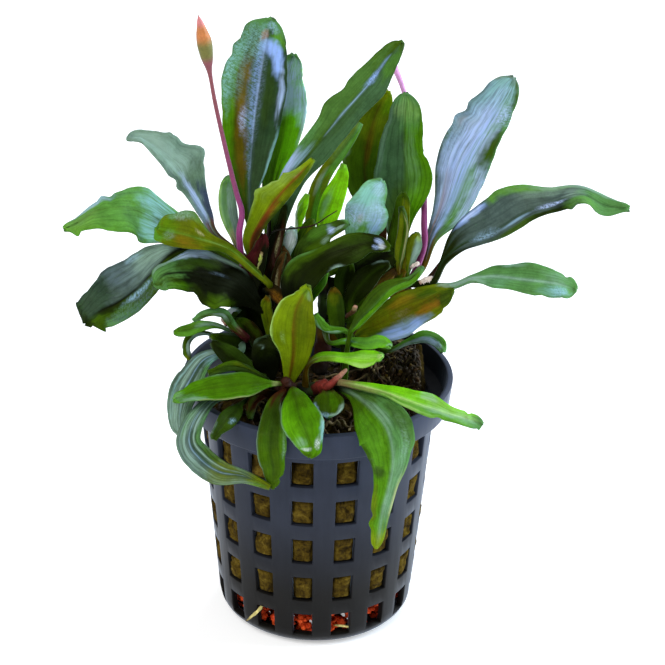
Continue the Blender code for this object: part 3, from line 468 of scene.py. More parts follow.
        (0.84, -0.6, 0.14, 0.4, "paleTeal", 0.6, "veins"), (0.9, -0.1, 0.1, 0.8, "paleTeal", 0.9, "veins"),
        (0.62, -0.75, 0.1, 0.3, "paleBlue", 0.7, "cross"), (0.4, 0.85, 0.14, 0.2, "glare", 0.9, "veins"),
        (0.8, 0.6, 0.07, 0.35, "glare", 0.8, "cross"), (0.64, -0.74, 0.06, 0.16, "olive", 0.6, "smooth"),
        (0.66, -0.74, 0.03, 0.08, "orange", 0.7, "smooth"),
        (0.68, -0.38, 0.04, 0.12, "olive", 0.6, "smooth"),
        (0.3, -0.45, 0.16, 0.1, "orange", 0.7, "smooth"), (0.36, -0.32, 0.1, 0.12, "orange", 0.7, "veins"),
        (0.62, 0.66, 0.08, 0.26, "moss", 1.0, "smooth"), (0.4, 0.35, 0.1, 0.12, "fern", 0.8, "veins"),
        (0.8, 0.2, 0.1, 0.1, "steel", 0.6, "veins")]),
    "right_long": leaf(-30, 15, [(20.5, 2, 66.5, 0.6, 0.6), (22.5, 1, 71.5, 0.7, 0.8),
        (26, 0, 75.5, 3.9, 1.5), (31.5, -2, 79, 6.7, 2.3), (36.5, -3, 83, 5.5, 2.5),
        (41.5, -4, 85.5, 3.1, 2.3), (46, -5, 87.5, 1.8, 2.5), (50.5, -5, 85.5, 1.6, 2.5),
        (54.5, -6, 85.5, 0.4, 0.4)],
        left="slate", right="slate", foot=("darkGreen", 0.26), tip=("fern", 0.8), rib=("pine", 0.6),
        veins=0.4, blunt=0.5,
        nicks=[(1, 0.7, 0.6, 0.03), (1, 0.79, -0.5, 0.04), (-1, 0.4, -0.5, 0.05)],
        patches=[(0.56, -0.92, 0.18, 0.2, "leafGreen", 0.95), (0.6, -0.6, 0.1, 0.2, "greyGreen", 0.6),
        (0.84, 0.0, 0.12, 1.2, "fern", 0.9), (0.52, 0.85, 0.2, 0.3, "moss", 0.9),
        (0.6, 0.9, 0.1, 0.3, "darkGreen", 0.8), (0.3, 0.7, 0.08, 0.5, "slate", 0.8),
        (0.66, 0.5, 0.05, 0.5, "black", 0.6), (0.75, 0.6, 0.08, 0.5, "leafGreen", 0.5)],
        paintedSheens=[(0.3, -0.86, 0.06, 0.12, "lavender", 1.0, "smooth"),
        (0.3, -0.86, 0.04, 0.06, "white", 0.6, "smooth"), (0.33, 0.2, 0.05, 0.3, "paleBlue", 0.7, "cross"),
        (0.46, 0.2, 0.06, 0.14, "paleBlue", 0.7, "veins"), (0.6, 0.14, 0.06, 0.2, "glare", 1.0, "cross"),
        (0.72, -0.2, 0.05, 0.4, "mist", 0.5, "veins"), (0.74, -0.9, 0.2, 0.15, "mist", 0.6, "smooth")]),
    "right_small": leaf(-30, 8, [(18.5, 5, 65, 0.6, 0.6), (24, 2, 66, 0.6, 0.6), (28, 1, 68, 0.8, 0.7),
        (32, 0, 69, 2.2, 2.5), (36.5, -1, 69, 3.3, 2.8), (41, -2, 69, 2.9, 3.2), (44, -2, 68.5, 2.3, 3),
        (46.5, -2, 67.5, 1, 0.9)],
        left="fern", right="fern", foot=("mist", 0.14), tip=("fern", 0.95), rib=("mist", 0.6), veins=0.4,
        nicks=[(-1, 0.88, -0.5, 0.03), (1, 0.7, -0.4, 0.04)],
        patches=[(0.6, 0.2, 0.3, 1.0, "fern", 0.6), (0.4, 0.4, 0.1, 0.6, "sea", 0.5)],
        paintedSheens=[(0.84, 0.5, 0.08, 0.35, "paleBlue", 0.6, "cross"),
        (0.8, 0.6, 0.12, 0.4, "paleTeal", 0.5, "veins"), (0.8, -0.5, 0.1, 0.4, "mist", 0.3, "veins"),
        (0.22, 0.0, 0.1, 0.9, "mist", 0.8, "veins"), (0.32, 0.7, 0.06, 0.3, "mist", 0.5, "smooth"),
        (0.52, -0.9, 0.06, 0.15, "mist", 0.5, "smooth")]),
    "centre_pale": leaf(0, 15, [(6, 4, 69.5, 0.6, 0.6), (7, 2, 76.5, 2.6, 3.4), (8, 1, 81, 3.7, 4.5),
        (9, 1, 84, 2.6, 3), (11, 1, 87, 0.6, 0.7)],
        left="sea", right="sea", foot=("moss", 0.2), tip=("sea", 0.95), rib=("leafGreen", 0.3), veins=0.4,
        wave=0.5,
        patches=[(0.34, 0.1, 0.1, 0.5, "leafGreen", 0.8), (0.8, 0.95, 0.3, 0.15, "leafGreen", 0.7),
        (0.85, -0.9, 0.12, 0.25, "leafGreen", 0.6)],
        paintedSheens=[(0.46, -0.4, 0.14, 0.6, "glare", 1.0, "cross"),
        (0.7, 0.0, 0.3, 0.9, "aqua", 0.75, "smooth"), (0.58, 0.5, 0.16, 0.4, "glare", 0.9, "cross"),
        (0.4, 0.6, 0.14, 0.3, "lavender", 0.7, "veins"), (0.9, 0.2, 0.1, 0.5, "glare", 0.7, "cross"),
        (0.4, -0.15, 0.05, 0.14, "pink", 0.6, "cross")]),
    "backlit": leaf(0, 5, [(0.5, 4, 69.5, 0.4, 0.4), (0.5, 6.5, 76, 1.3, 2.2), (2, 7, 80.5, 2, 2.2),
        (3.5, 7, 85, 1.1, 1.5), (4, 7, 87.5, 0.4, 0.4)],
        # vivid paints the glow of this leaf lit through from behind
        left="vivid", right="vivid", foot=("moss", 0.25), tip=("lime", 0.9), rib=("grass", 0.3), veins=0.2,
        blunt=0.4,
        patches=[(0.4, -0.6, 0.15, 0.4, "leafGreen", 0.7)],
        paintedSheens=[(0.45, -0.4, 0.15, 0.3, "mist", 0.4, "veins")]),
    "sliver": leaf(0, 5, [(-3.5, 5, 70, 0.4, 0.4), (-4, 7, 75.5, 0.6, 0.6), (-3.5, 7, 78.5, 0.9, 0.9),
        (-2.5, 7, 81.5, 0.4, 0.4)],
        # vivid paints the glow of this leaf lit through from behind
        left="lime", right="vivid", foot=("grass", 0.15), tip=("lime", 0.95), rib=("grass", 0.3),
        veins=0.1, blunt=0.2,
        paintedSheens=[(0.4, -0.85, 0.35, 0.2, "white", 0.7, "smooth")]),
    "narrow_olive": leaf(0, 10, [(-2.5, 7, 68, 0.4, 0.4), (-2, 9.5, 74.5, 0.9, 1.1),
        (-1, 11, 80, 1.3, 1.5), (1, 12.5, 84, 1.3, 1.3), (4, 14, 88, 1.1, 1.1), (7, 15, 92.5, 0.4, 0.4)],
        left="olive", right="leafGreen", foot=("deep", 0.2), tip=("fern", 0.95), rib=("deep", 0.4),
        veins=0.4, blunt=0.2,
        patches=[(0.8, 0.0, 0.15, 1.0, "fern", 0.5), (0.5, 0.6, 0.1, 0.5, "olive", 0.8)],
        paintedSheens=[(0.5, -0.2, 0.12, 0.3, "mist", 0.5, "veins")]),
    "centre_dark": leaf(-15, 12, [(-4, -4, 59.5, 0.6, 0.6), (-4, -5, 66, 2.5, 2.3), (-3, -6, 71, 3.6, 3),
        (1, -7, 75.5, 2.1, 3), (5.5, -7, 77.5, 2.5, 3.2), (9, -7, 78.5, 1.6, 2),
        (12.5, -7, 77.5, 0.5, 0.6)],
        left="darkGreen", right="darkGreen", foot=("black", 0.3), tip=("moss", 0.95), rib=("black", 0.5),
        veins=0.4, blunt=0.7,
        patches=[(0.42, -0.85, 0.12, 0.4, "moss", 0.8), (0.6, -0.9, 0.2, 0.4, "moss", 0.75),
        (0.72, -0.4, 0.12, 0.5, "deep", 0.8), (0.75, 0.7, 0.1, 0.5, "deep", 0.6)],
        paintedSheens=[(0.9, -0.35, 0.035, 0.35, "glare", 0.9, "veins"),
        (0.93, 0.1, 0.03, 0.5, "white", 0.8, "veins"), (0.88, 0.5, 0.03, 0.25, "glare", 0.7, "cross"),
        (0.55, 0.95, 0.06, 0.08, "mist", 0.9, "smooth"), (0.4, -0.95, 0.1, 0.08, "fern", 0.8, "smooth")]),
    "centre_glossy": leaf(-20, 10, [(-4, -1, 67, 0.4, 0.4), (-3, -2, 74, 1.6, 1.1),
        (-0.5, -3, 77, 2.2, 1.7), (2.5, -3, 79, 1.5, 1), (5, -3, 80.5, 0.4, 0.4)],
        left="deep", right="moss", foot=("darkGreen", 0.25), tip=("fern", 0.95), rib=("deep", 0.4),
        patches=[(0.6, -0.5, 0.2, 0.5, "leafGreen", 0.4)],
        paintedSheens=[(0.72, -0.1, 0.05, 0.6, "glare", 1.0, "veins"),
        (0.84, 0.3, 0.1, 0.4, "mist", 0.8, "veins"), (0.6, 0.6, 0.06, 0.4, "mist", 0.5, "veins")]),
    "tiny_grey": leaf(0, 5, [(-6, 1, 68.5, 0.4, 0.4), (-6, 2, 72, 0.7, 0.7), (-5.5, 2, 74.5, 1.5, 1.3),
        (-5, 2, 77, 0.9, 0.9)],
        left="greyGreen", right="greyGreen", foot=("brown", 0.3), tip=("mist", 0.8), rib=("steel", 0.3),
        veins=0.2,
        paintedSheens=[(0.7, 0.0, 0.3, 0.9, "white", 0.7, "veins")]),
    "front_upright": leaf(0, 10, [(-5.5, -9, 50, 0.6, 0.6), (-5, -10, 54, 1.3, 1.8),
        (-4.5, -12, 59, 2.5, 3.3), (-4.5, -14, 64.5, 4, 4.1), (-4, -15, 69, 3.2, 3.6),
        (-3, -15.5, 71.5, 1.6, 2.3), (-2, -16, 74, 0.4, 0.5)],
        left="yellowGreen", right="olive", foot=("maroon", 0.08), tip=("yellowGreen", 0.95),
        rib=("brown", 0.7), blunt=0.4,
        nicks=[(-1, 0.9, -0.3, 0.03)],
        patches=[(0.25, -0.5, 0.16, 0.7, "yellow", 0.4), (0.25, 0.5, 0.16, 0.7, "yellowGreen", 0.5),
        (0.24, 0.05, 0.12, 0.16, "rust", 0.6), (0.42, 0.04, 0.2, 0.08, "rust", 0.5),
        (0.62, 0.1, 0.14, 0.14, "brown", 0.35), (0.55, 0.3, 0.2, 0.4, "moss", 0.3),
        (0.93, 0.2, 0.07, 0.6, "leafGreen", 0.35)],
        paintedSheens=[(0.6, -0.97, 0.3, 0.06, "paleLime", 0.9, "smooth"),
        (0.45, -0.5, 0.04, 0.1, "paleLime", 0.4, "cross"), (0.9, 0.6, 0.05, 0.25, "mist", 0.3, "veins")]),
    "front_left": leaf(30, 10, [(-6, -11, 52, 0.4, 0.4), (-9, -13, 53, 0.8, 0.7),
        (-12.5, -15, 54, 2.6, 2.1), (-16.5, -17, 54.5, 3.3, 2.5), (-21, -19, 54.5, 2.3, 1.9),
        (-23.5, -20, 54, 1.6, 1.1), (-25.5, -20.5, 53.5, 0.5, 0.4)],
        left="grass", right="grass", foot=("maroon", 0.06), tip=("leafGreen", 0.9), rib=("moss", 0.5),
        veins=0.4,
        patches=[(0.1, 0.0, 0.04, 1.0, "cream", 0.5), (0.4, 0.2, 0.3, 1.0, "moss", 0.5),
        (0.82, -0.5, 0.12, 0.5, "fern", 0.6)],
        paintedSheens=[(0.45, -0.97, 0.25, 0.06, "cream", 0.5, "smooth"),
        (0.78, -0.8, 0.12, 0.25, "mist", 0.45, "smooth"), (0.92, 0.2, 0.08, 0.6, "mist", 0.3, "veins"),
        (0.5, 0.95, 0.15, 0.08, "mist", 0.3, "smooth")]),
    "front_drop": leaf(0, -12, [(-4.5, -12, 51.5, 0.6, 0.6), (-4, -18, 53, 2.2, 2.4),
        (-3, -24, 52.5, 3.6, 3.6), (-2, -27, 51.5, 3.6, 3.4), (-1, -28.5, 49, 2.1, 2.3),
        (-1, -29, 47, 0.4, 0.4)],
        left="grass", right="grass", foot=("maroon", 0.06), tip=("moss", 0.97), rib=("deep", 0.5),
        veins=0.35,
        patches=[(0.2, -0.3, 0.14, 0.6, "moss", 0.7), (0.5, 0.75, 0.3, 0.4, "bright", 0.4),
        (0.75, 0.6, 0.1, 0.4, "leafGreen", 0.5)],
        paintedSheens=[(0.8, -0.6, 0.06, 0.22, "white", 0.8, "cross"),
        (0.86, 0.4, 0.04, 0.4, "white", 0.5, "veins"),
        (0.68, -0.92, 0.12, 0.14, "paleTeal", 0.85, "smooth"),
        (0.74, 0.5, 0.06, 0.3, "mist", 0.4, "veins"), (0.5, -0.97, 0.15, 0.06, "mist", 0.8, "smooth"),
        (0.5, 0.98, 0.3, 0.05, "mist", 0.6, "smooth")]),
    "front_hanging": leaf(0, -10, [(-6, -13, 51.5, 0.5, 0.5), (-7.5, -17, 51, 1.1, 1.5),
        (-8, -25, 50, 2.7, 2.3), (-8, -26.5, 46.5, 2.7, 2.5), (-7.5, -27, 43.5, 2, 2.1),
        (-7.5, -27, 39.5, 0.4, 0.4)],
        left="moss", right="moss", foot=("maroon", 0.2), tip=("moss", 0.9), rib=("deep", 0.8), veins=0.4,
        blunt=0.6,
        nicks=[(-1, 0.9, -0.5, 0.04)],
        patches=[(0.35, 0.0, 0.2, 0.8, "deep", 0.8), (0.6, -0.85, 0.3, 0.25, "grass", 0.6),
        (0.65, 0.4, 0.25, 0.4, "grass", 0.2)],
        paintedSheens=[(0.6, -0.85, 0.12, 0.12, "mist", 0.45, "cross"),
        (0.6, 0.98, 0.3, 0.05, "mist", 0.5, "smooth"), (0.3, -0.9, 0.15, 0.2, "mist", 0.3, "veins")]),
    "front_folded": leaf(0, 20, [(1.5, -11, 51.5, 0.6, 0.6), (2, -13, 50.5, 1.9, 2.3),
        (2, -16, 50, 3.1, 2.9), (2, -18, 49, 1.5, 1.7)],
        left="moss", right="moss", foot=("maroon", 0.2), tip=("fern", 0.95), rib=("deep", 0.6), veins=0.4,
        patches=[(0.5, -0.4, 0.3, 0.3, "grass", 0.5)],
        paintedSheens=[(0.85, 0.9, 0.2, 0.2, "paleBlue", 1.0, "smooth"),
        (0.95, 0.3, 0.08, 0.5, "paleBlue", 0.95, "cross"), (0.85, -0.9, 0.2, 0.2, "mist", 1.0, "smooth"),
        (0.95, -0.3, 0.05, 0.4, "mist", 0.8, "smooth")]),
    "front_large": leaf(0, -12, [(3.5, -8, 50, 0.6, 0.6), (6.5, -14.5, 52, 1.1, 1.5),
        (9.5, -21.5, 53, 3.6, 4.7), (12.5, -28, 52, 4.6, 5.7), (13.5, -29, 47, 3, 4.6),
        (13, -28, 41, 1.6, 2.9), (12, -27, 35.5, 1.5, 2.2), (11.5, -26.5, 30.5, 1.1, 1.5),
        (11, -26, 27, 0.6, 0.6)],
        left="fern", right="grass", foot=("darkGreen", 0.1), tip=("yellowGreen", 0.88), rib=("mist", 0.35),
        veins=0.5, blunt=0.8,
        nicks=[(1, 0.79, -0.4, 0.03), (1, 0.84, 0.4, 0.03), (-1, 0.45, 0.4, 0.05)],
        patches=[(0.16, 0.0, 0.1, 1.0, "moss", 0.7), (0.35, 0.6, 0.15, 0.4, "leafGreen", 0.4),
        (0.36, -0.7, 0.12, 0.3, "moss", 0.5), (0.58, 0.65, 0.03, 0.3, "deep", 0.8),
        (0.74, 0.85, 0.1, 0.3, "olive", 0.7), (0.5, 0.95, 0.1, 0.1, "deep", 0.8),
        (0.82, 0.0, 0.06, 0.5, "leafGreen", 0.5)],
        paintedSheens=[(0.56, -0.5, 0.1, 0.4, "mist", 0.2, "veins"),
        (0.72, -0.4, 0.08, 0.4, "mist", 0.3, "veins"), (0.68, -0.9, 0.12, 0.2, "cream", 0.5, "smooth"),
        (0.3, -0.2, 0.08, 0.12, "mist", 0.4, "veins"), (0.45, -0.6, 0.1, 0.2, "mist", 0.3, "cross")]),
    "front_lime": leaf(-30, 10, [(3.5, -11, 52.5, 0.6, 0.6), (7.5, -17, 55, 0.7, 0.8),
        (12, -21.5, 56, 1.5, 0.7), (15.5, -24, 56, 2.1, 1.4), (19, -25.5, 55.5, 2.8, 2.1),
        (23, -26, 54.5, 1.5, 1.6), (26.5, -26, 53.5, 1.3, 1.8), (29, -26, 52.5, 0.6, 0.7)],
        left="bright", right="leafGreen", foot=("tan", 0.14), tip=("fern", 0.9), rib=("paleLime", 0.7),
        veins=0.35,
        nicks=[(1, 0.66, -0.5, 0.04), (-1, 0.85, -0.5, 0.03), (1, 0.98, 0.6, 0.02)],
        patches=[(0.08, 0.0, 0.05, 1.0, "rust", 0.5), (0.22, 0.5, 0.12, 0.5, "tan", 0.7),
        (0.28, 0.2, 0.1, 0.2, "cream", 0.5), (0.42, 0.6, 0.2, 0.4, "leafGreen", 0.7),
        (0.68, -0.4, 0.12, 0.5, "leafGreen", 0.5)],
        paintedSheens=[(0.56, -0.75, 0.06, 0.25, "mist", 0.7, "veins"),
        (0.7, 0.1, 0.14, 0.4, "mist", 0.5, "veins"), (0.45, 0.85, 0.16, 0.2, "paleLime", 0.6, "smooth"),
        (0.68, -0.5, 0.2, 0.5, "paleLime", 0.35, "veins"), (0.85, 0.0, 0.1, 0.8, "mist", 0.3, "veins")]),
    "lime_short": leaf(-30, 10, [(-2, -9, 54.5, 0.4, 0.4), (0.5, -10, 57, 0.9, 0.8), (5, -12, 58, 1, 1.2),
        (8.5, -14, 59, 1.5, 2.1), (11.5, -15, 60, 0.9, 1.2)],
        left="bright", right="lime", foot=("brown", 0.2), tip=("leafGreen", 0.96), rib=("paleLime", 0.3),
        nicks=[(1, 0.92, -0.5, 0.04)],
        patches=[(0.3, 0.6, 0.12, 0.6, "olive", 0.5), (0.6, -0.5, 0.2, 0.5, "leafGreen", 0.3)],
        paintedSheens=[(0.72, 0.8, 0.15, 0.25, "paleLime", 0.8, "smooth"),
        (0.97, 0.2, 0.05, 0.6, "paleLime", 0.8, "smooth"),
        (0.8, -0.3, 0.2, 0.3, "paleLime", 0.3, "veins")]),
    "green_short": leaf(-30, 10, [(2, -6, 58, 0.4, 0.4), (5, -8, 59.5, 0.5, 0.8), (8.5, -10, 60, 1.1, 1.4),
        (11, -11, 61, 1.1, 1.6), (13, -12, 60.5, 0.6, 0.9)],
        left="bright", right="bright", foot=("moss", 0.1), tip=("leafGreen", 0.96), rib=("fern", 0.3),
        patches=[(0.5, 0.0, 0.5, 1.2, "fern", 0.45), (0.3, 0.7, 0.2, 0.3, "grass", 0.7)],
        paintedSheens=[(0.3, 0.1, 0.08, 0.4, "paleTeal", 0.7, "cross"),
        (0.97, 0.3, 0.05, 0.5, "mist", 0.5, "smooth")]),
    "teal_curl": leaf(0, 10, [(6, -6.5, 59.5, 0.4, 0.4), (4.5, -8, 61.5, 0.4, 0.5), (2, -9, 62, 0.5, 0.7),
        (0.5, -10, 63.5, 0.7, 0.9), (-0.5, -10, 65.5, 0.4, 0.4)],
        left="leafGreen", right="leafGreen", foot=("moss", 0.2), tip=("leafGreen", 0.9), rib=("moss", 0.4),
        patches=[(0.5, 0.8, 0.3, 0.4, "grass", 0.6)],
        paintedSheens=[(0.6, -0.9, 0.3, 0.2, "mist", 0.7, "smooth")]),
    "right_broad": leaf(-25, 8, [(4.5, -2, 55.5, 0.6, 0.6), (7.5, -3, 59, 1.5, 1.6), (11, -4, 62, 2.3, 5),
        (15, -5, 64.5, 3, 5.6), (19, -6, 67, 2.6, 4.7), (21.5, -6, 68.5, 1.5, 3.4),
        (24, -6, 69, 0.4, 0.6)],
        left="olive", right="olive", foot=("deep", 0.16), tip=("moss", 0.96), rib=("yellowGreen", 0.4),
        veins=0.5,
        patches=[(0.72, -0.2, 0.14, 0.5, "moss", 0.9), (0.88, 0.4, 0.12, 0.6, "deep", 0.8),
        (0.5, -0.5, 0.1, 0.3, "orange", 0.4), (0.4, -0.85, 0.12, 0.25, "moss", 0.6),
        (0.66, 0.42, 0.07, 0.16, "orange", 0.6), (0.75, 0.5, 0.05, 0.2, "orange", 0.5),
        (0.58, 0.0, 0.15, 0.3, "brown", 0.5), (0.3, 0.7, 0.08, 0.3, "moss", 0.8)],
        paintedSheens=[(0.42, 0.76, 0.1, 0.28, "lavender", 1.0, "smooth"),
        (0.56, 0.8, 0.1, 0.26, "lavender", 1.0, "smooth"), (0.66, 0.45, 0.1, 0.2, "orange", 0.7, "cross"),
        (0.45, 0.1, 0.2, 0.4, "brown", 0.6, "cross"), (0.74, 0.2, 0.1, 0.3, "rust", 0.4, "cross"),
        (0.48, 0.85, 0.12, 0.12, "glare", 0.8, "veins"), (0.5, 0.5, 0.1, 0.14, "paleBlue", 0.4, "veins"),
        (0.5, 0.15, 0.08, 0.05, "cream", 0.4, "cross"), (0.93, -0.8, 0.08, 0.3, "mist", 0.6, "veins"),
        (0.3, 0.9, 0.08, 0.15, "mist", 0.7, "smooth")]),
    "right_narrow": leaf(-20, 12, [(5.5, -10, 61, 0.4, 0.4), (7, -11.5, 64.5, 1.1, 0.6),
        (9.5, -13, 68.5, 2.1, 0.8), (12.5, -14, 72.5, 1.8, 1), (16, -15, 75, 0.7, 0.8),
        (18, -15, 77.5, 0.4, 0.4)],
        left="moss", right="grass", foot=("moss", 0.12), tip=("fern", 0.95), rib=("fern", 0.25), veins=0.5,
        patches=[(0.0, 0.0, 0.05, 1.2, "peat", 1.0), (0.3, -0.5, 0.25, 0.7, "deep", 0.6),
        (0.6, -0.6, 0.2, 0.4, "deep", 0.4), (0.7, 0.5, 0.2, 0.4, "leafGreen", 0.35)],
        paintedSheens=[(0.6, 0.1, 0.3, 0.03, "mist", 0.6, "smooth"),
        (0.85, -0.8, 0.1, 0.3, "fern", 0.6, "smooth")]),
    "left_drooping": leaf(15, -10, [(-14, -7, 56.5, 0.6, 0.6), (-17.5, -9, 57, 0.7, 0.9),
        (-20.5, -12, 57, 1.6, 1.8), (-22.5, -15, 55, 2.3, 2.8), (-24, -16, 52, 2.5, 2.8),
        (-24.5, -18, 49, 1.6, 2.4), (-24.5, -19, 45.5, 0.4, 0.4)],
        left="sage", right="sage", foot=("sage", 0.02), tip=("greyGreen", 0.95), rib=("pine", 0.8),
        veins=1.0,
        patches=[(0.5, -0.6, 0.4, 0.05, "pine", 0.9), (0.5, -0.18, 0.42, 0.05, "pine", 0.85),
        (0.5, 0.2, 0.4, 0.05, "slate", 0.9), (0.5, 0.5, 0.4, 0.06, "pine", 0.8),
        (0.5, 0.82, 0.4, 0.05, "slate", 0.9), (0.35, -0.75, 0.14, 0.22, "fern", 0.9),
        (0.62, -0.8, 0.12, 0.2, "leafGreen", 0.5), (0.1, 0.0, 0.08, 1.2, "pine", 0.7),
        (0.7, 0.7, 0.2, 0.3, "sage", 0.5), (0.5, -0.3, 0.3, 0.12, "slate", 0.6),
        (0.5, 0.6, 0.3, 0.1, "slate", 0.6)],
        paintedSheens=[(0.45, -0.4, 0.4, 0.06, "mist", 0.8, "smooth"),
        (0.5, 0.03, 0.4, 0.06, "paleBlue", 0.5, "smooth"), (0.45, 0.36, 0.35, 0.06, "mist", 0.8, "smooth"),
        (0.45, 0.68, 0.35, 0.05, "paleTeal", 0.6, "smooth"), (0.4, 0.5, 0.2, 0.35, "mist", 0.3, "veins"),
        (0.22, -0.6, 0.12, 0.5, "paleTeal", 0.7, "veins"), (0.22, 0.5, 0.08, 0.4, "mist", 0.6, "veins"),
        (0.85, 0.3, 0.15, 0.7, "mist", 0.6, "veins")]),
    "left_curled": leaf(0, 12, [(-13.5, -10, 49, 0.4, 0.4), (-18.5, -15.5, 51, 0.9, 0.9),
        (-21.5, -21, 50, 1.8, 1.6), (-22.5, -24, 47, 2.2, 2.3), (-20.5, -25, 44, 2.5, 2.5),
        (-17, -26, 42, 2.2, 2.4), (-12.5, -26.5, 41.5, 1.1, 1.3), (-8, -27.5, 40, 0.4, 0.4)],
        left="sage", right="sage", foot=("sage", 0.1), tip=("olive", 0.86), rib=("pine", 0.7), veins=1.0,
        blunt=0.2,
        patches=[(0.5, -0.6, 0.4, 0.05, "pine", 0.9), (0.5, -0.18, 0.42, 0.05, "pine", 0.85),
        (0.5, 0.2, 0.4, 0.05, "slate", 0.9), (0.5, 0.5, 0.4, 0.06, "pine", 0.8),
        (0.5, 0.82, 0.4, 0.05, "slate", 0.9), (0.74, 0.0, 0.1, 1.3, "olive", 0.75),
        (0.4, -0.8, 0.2, 0.25, "fern", 0.8), (0.3, 0.5, 0.12, 0.3, "leafGreen", 0.5),
        (0.6, -0.8, 0.1, 0.3, "moss", 0.8), (0.4, -0.3, 0.25, 0.12, "slate", 0.6),
        (0.45, 0.3, 0.25, 0.1, "slate", 0.6), (0.94, 0.7, 0.06, 0.4, "leafGreen", 0.4)],
        paintedSheens=[(0.45, -0.4, 0.4, 0.06, "mist", 0.8, "smooth"),
        (0.5, 0.03, 0.4, 0.06, "paleBlue", 0.5, "smooth"), (0.45, 0.36, 0.35, 0.06, "mist", 0.8, "smooth"),
        (0.45, 0.68, 0.35, 0.05, "paleTeal", 0.6, "smooth"), (0.45, 0.6, 0.2, 0.4, "mist", 0.35, "veins"),
        (0.28, 0.0, 0.08, 0.7, "mist", 0.4, "veins"), (0.8, 0.8, 0.12, 0.2, "mist", 0.4, "veins")]),
    "small_olive": leaf(0, 10, [(-13.5, -14, 49.5, 0.4, 0.4), (-14.5, -18, 50, 1.3, 1.3),
        (-16, -21.5, 50, 1.8, 1.6), (-17.5, -24, 49, 0.9, 0.9), (-18, -25, 48, 0.4, 0.4)],
        left="deep", right="deep", foot=("deep", 0.15), tip=("deep", 0.95), rib=("darkGreen", 0.5),
        patches=[(0.6, -0.3, 0.2, 0.6, "moss", 0.5)],
        paintedSheens=[(0.45, -0.5, 0.07, 0.25, "paleBlue", 0.7, "cross"),
        (0.75, 0.9, 0.15, 0.1, "mist", 0.4, "smooth")]),
    "small_dark": leaf(15, 8, [(-10, -2, 54, 0.4, 0.4), (-13, -3, 54.5, 1.9, 1.8),
        (-15.5, -5, 57, 2.4, 1.8), (-19.5, -6, 59, 0.4, 0.4)],
        left="darkGreen", right="darkGreen", foot=("black", 0.2), tip=("moss", 0.9), rib=("black", 0.5),
        veins=0.4, blunt=0.3,
        patches=[(0.7, 0.0, 0.2, 0.9, "deep", 0.7)],
        paintedSheens=[(0.8, 0.9, 0.2, 0.12, "sage", 0.5, "smooth")]),
    "small_round": leaf(0, 10, [(-8.5, -8, 51, 0.6, 0.6), (-9, -9, 55, 2.6, 2.2),
        (-9.5, -10, 58.5, 2.4, 2.2), (-9, -10, 61, 0.7, 0.7)],
        left="black", right="black", foot=("black", 0.2), tip=("darkGreen", 0.9), rib=("black", 0.5),
        patches=[(0.7, 0.0, 0.25, 0.9, "darkGreen", 0.8)],
        paintedSheens=[(0.75, -0.5, 0.04, 0.08, "mist", 0.8, "smooth"),
        (0.72, -0.2, 0.03, 0.08, "mist", 0.7, "smooth"), (0.85, -0.9, 0.14, 0.12, "sage", 0.5, "smooth")]),
    "small_low": leaf(20, 10, [(-9.5, -10, 52.5, 0.4, 0.4), (-12, -11, 54.5, 0.8, 0.5),
        (-15.5, -13, 56.5, 1, 0.9), (-19.5, -15, 56, 0.4, 0.4)],
        left="deep", right="moss", foot=("deep", 0.2), tip=("moss", 0.9), rib=("deep", 0.5), blunt=0.2,
        patches=[(0.45, 0.5, 0.2, 0.4, "olive", 0.5)]),
    "tiny_left": leaf(10, 8, [(-14.5, -3, 57.5, 0.4, 0.4), (-18, -5, 60.5, 0.4, 0.4),
        (-21, -6, 61, 1, 0.9), (-23.5, -7, 60.5, 1.1, 1.1), (-26, -8, 60.5, 0.8, 0.7)],
        left="leafGreen", right="leafGreen", foot=("sage", 0.2), tip=("grass", 0.95), rib=("deep", 0.5),
        patches=[(0.75, 0.4, 0.2, 0.5, "moss", 0.6)],
        paintedSheens=[(0.4, 0.2, 0.2, 0.7, "mist", 0.7, "veins")]),
    "tiny_hanging": leaf(0, 8, [(-16.5, -3, 56.5, 0.4, 0.4), (-20.5, -4, 58.5, 0.4, 0.4),
        (-23.5, -5, 58, 0.6, 0.6), (-24, -6, 56, 0.7, 0.6), (-23.5, -7, 54.5, 0.4, 0.4)],
        left="greyGreen", right="moss", foot=("sage", 0.2), tip=("olive", 0.9), rib=("moss", 0.3),
        paintedSheens=[(0.4, -0.5, 0.3, 0.5, "mist", 0.6, "smooth")]),
    "tiny_arch": leaf(20, -8, [(-13, -5, 58, 0.7, 0.7), (-15.5, -7, 61.5, 0.7, 0.8),
        (-17, -8, 64.5, 0.9, 0.8), (-20, -9, 65, 0.5, 0.6), (-22.5, -9, 63.5, 0.4, 0.4)],
        left="moss", right="fern", foot=("wine", 0.22), tip=("fern", 0.85), rib=("deep", 0.3),
        patches=[(0.36, 0.0, 0.08, 1.0, "deep", 0.7), (0.12, 0.3, 0.09, 0.6, "pink", 0.6),
        (0.03, 0.3, 0.03, 0.6, "blush", 0.8)],
        paintedSheens=[(0.6, -0.5, 0.2, 0.4, "mist", 0.5, "smooth")]),
    "tiny_blue": leaf(0, 5, [(-14.5, -2, 58.5, 0.4, 0.4), (-16, -3, 61.5, 1.1, 0.9),
        (-14.5, -3, 63, 0.4, 0.4)],
        left="paleTeal", right="deep", foot=("maroon", 0.2), tip=("sage", 0.9), rib=("pine", 0.3),
        veins=0.2,
        paintedSheens=[(0.6, -0.5, 0.3, 0.5, "white", 0.8, "smooth")]),
    "rim_right": leaf(-20, -8, [(12.5, 1, 53, 0.4, 0.4), (16.5, 2, 54.5, 0.6, 0.6),
        (19.5, 2, 55.5, 1.5, 1.1), (22, 1, 55, 1.3, 1.1), (23, 0, 53.5, 0.4, 0.4)],
        left="leafGreen", right="greyGreen", foot=("moss", 0.1), tip=("fern", 0.9), rib=("moss", 0.4),
        veins=0.5,
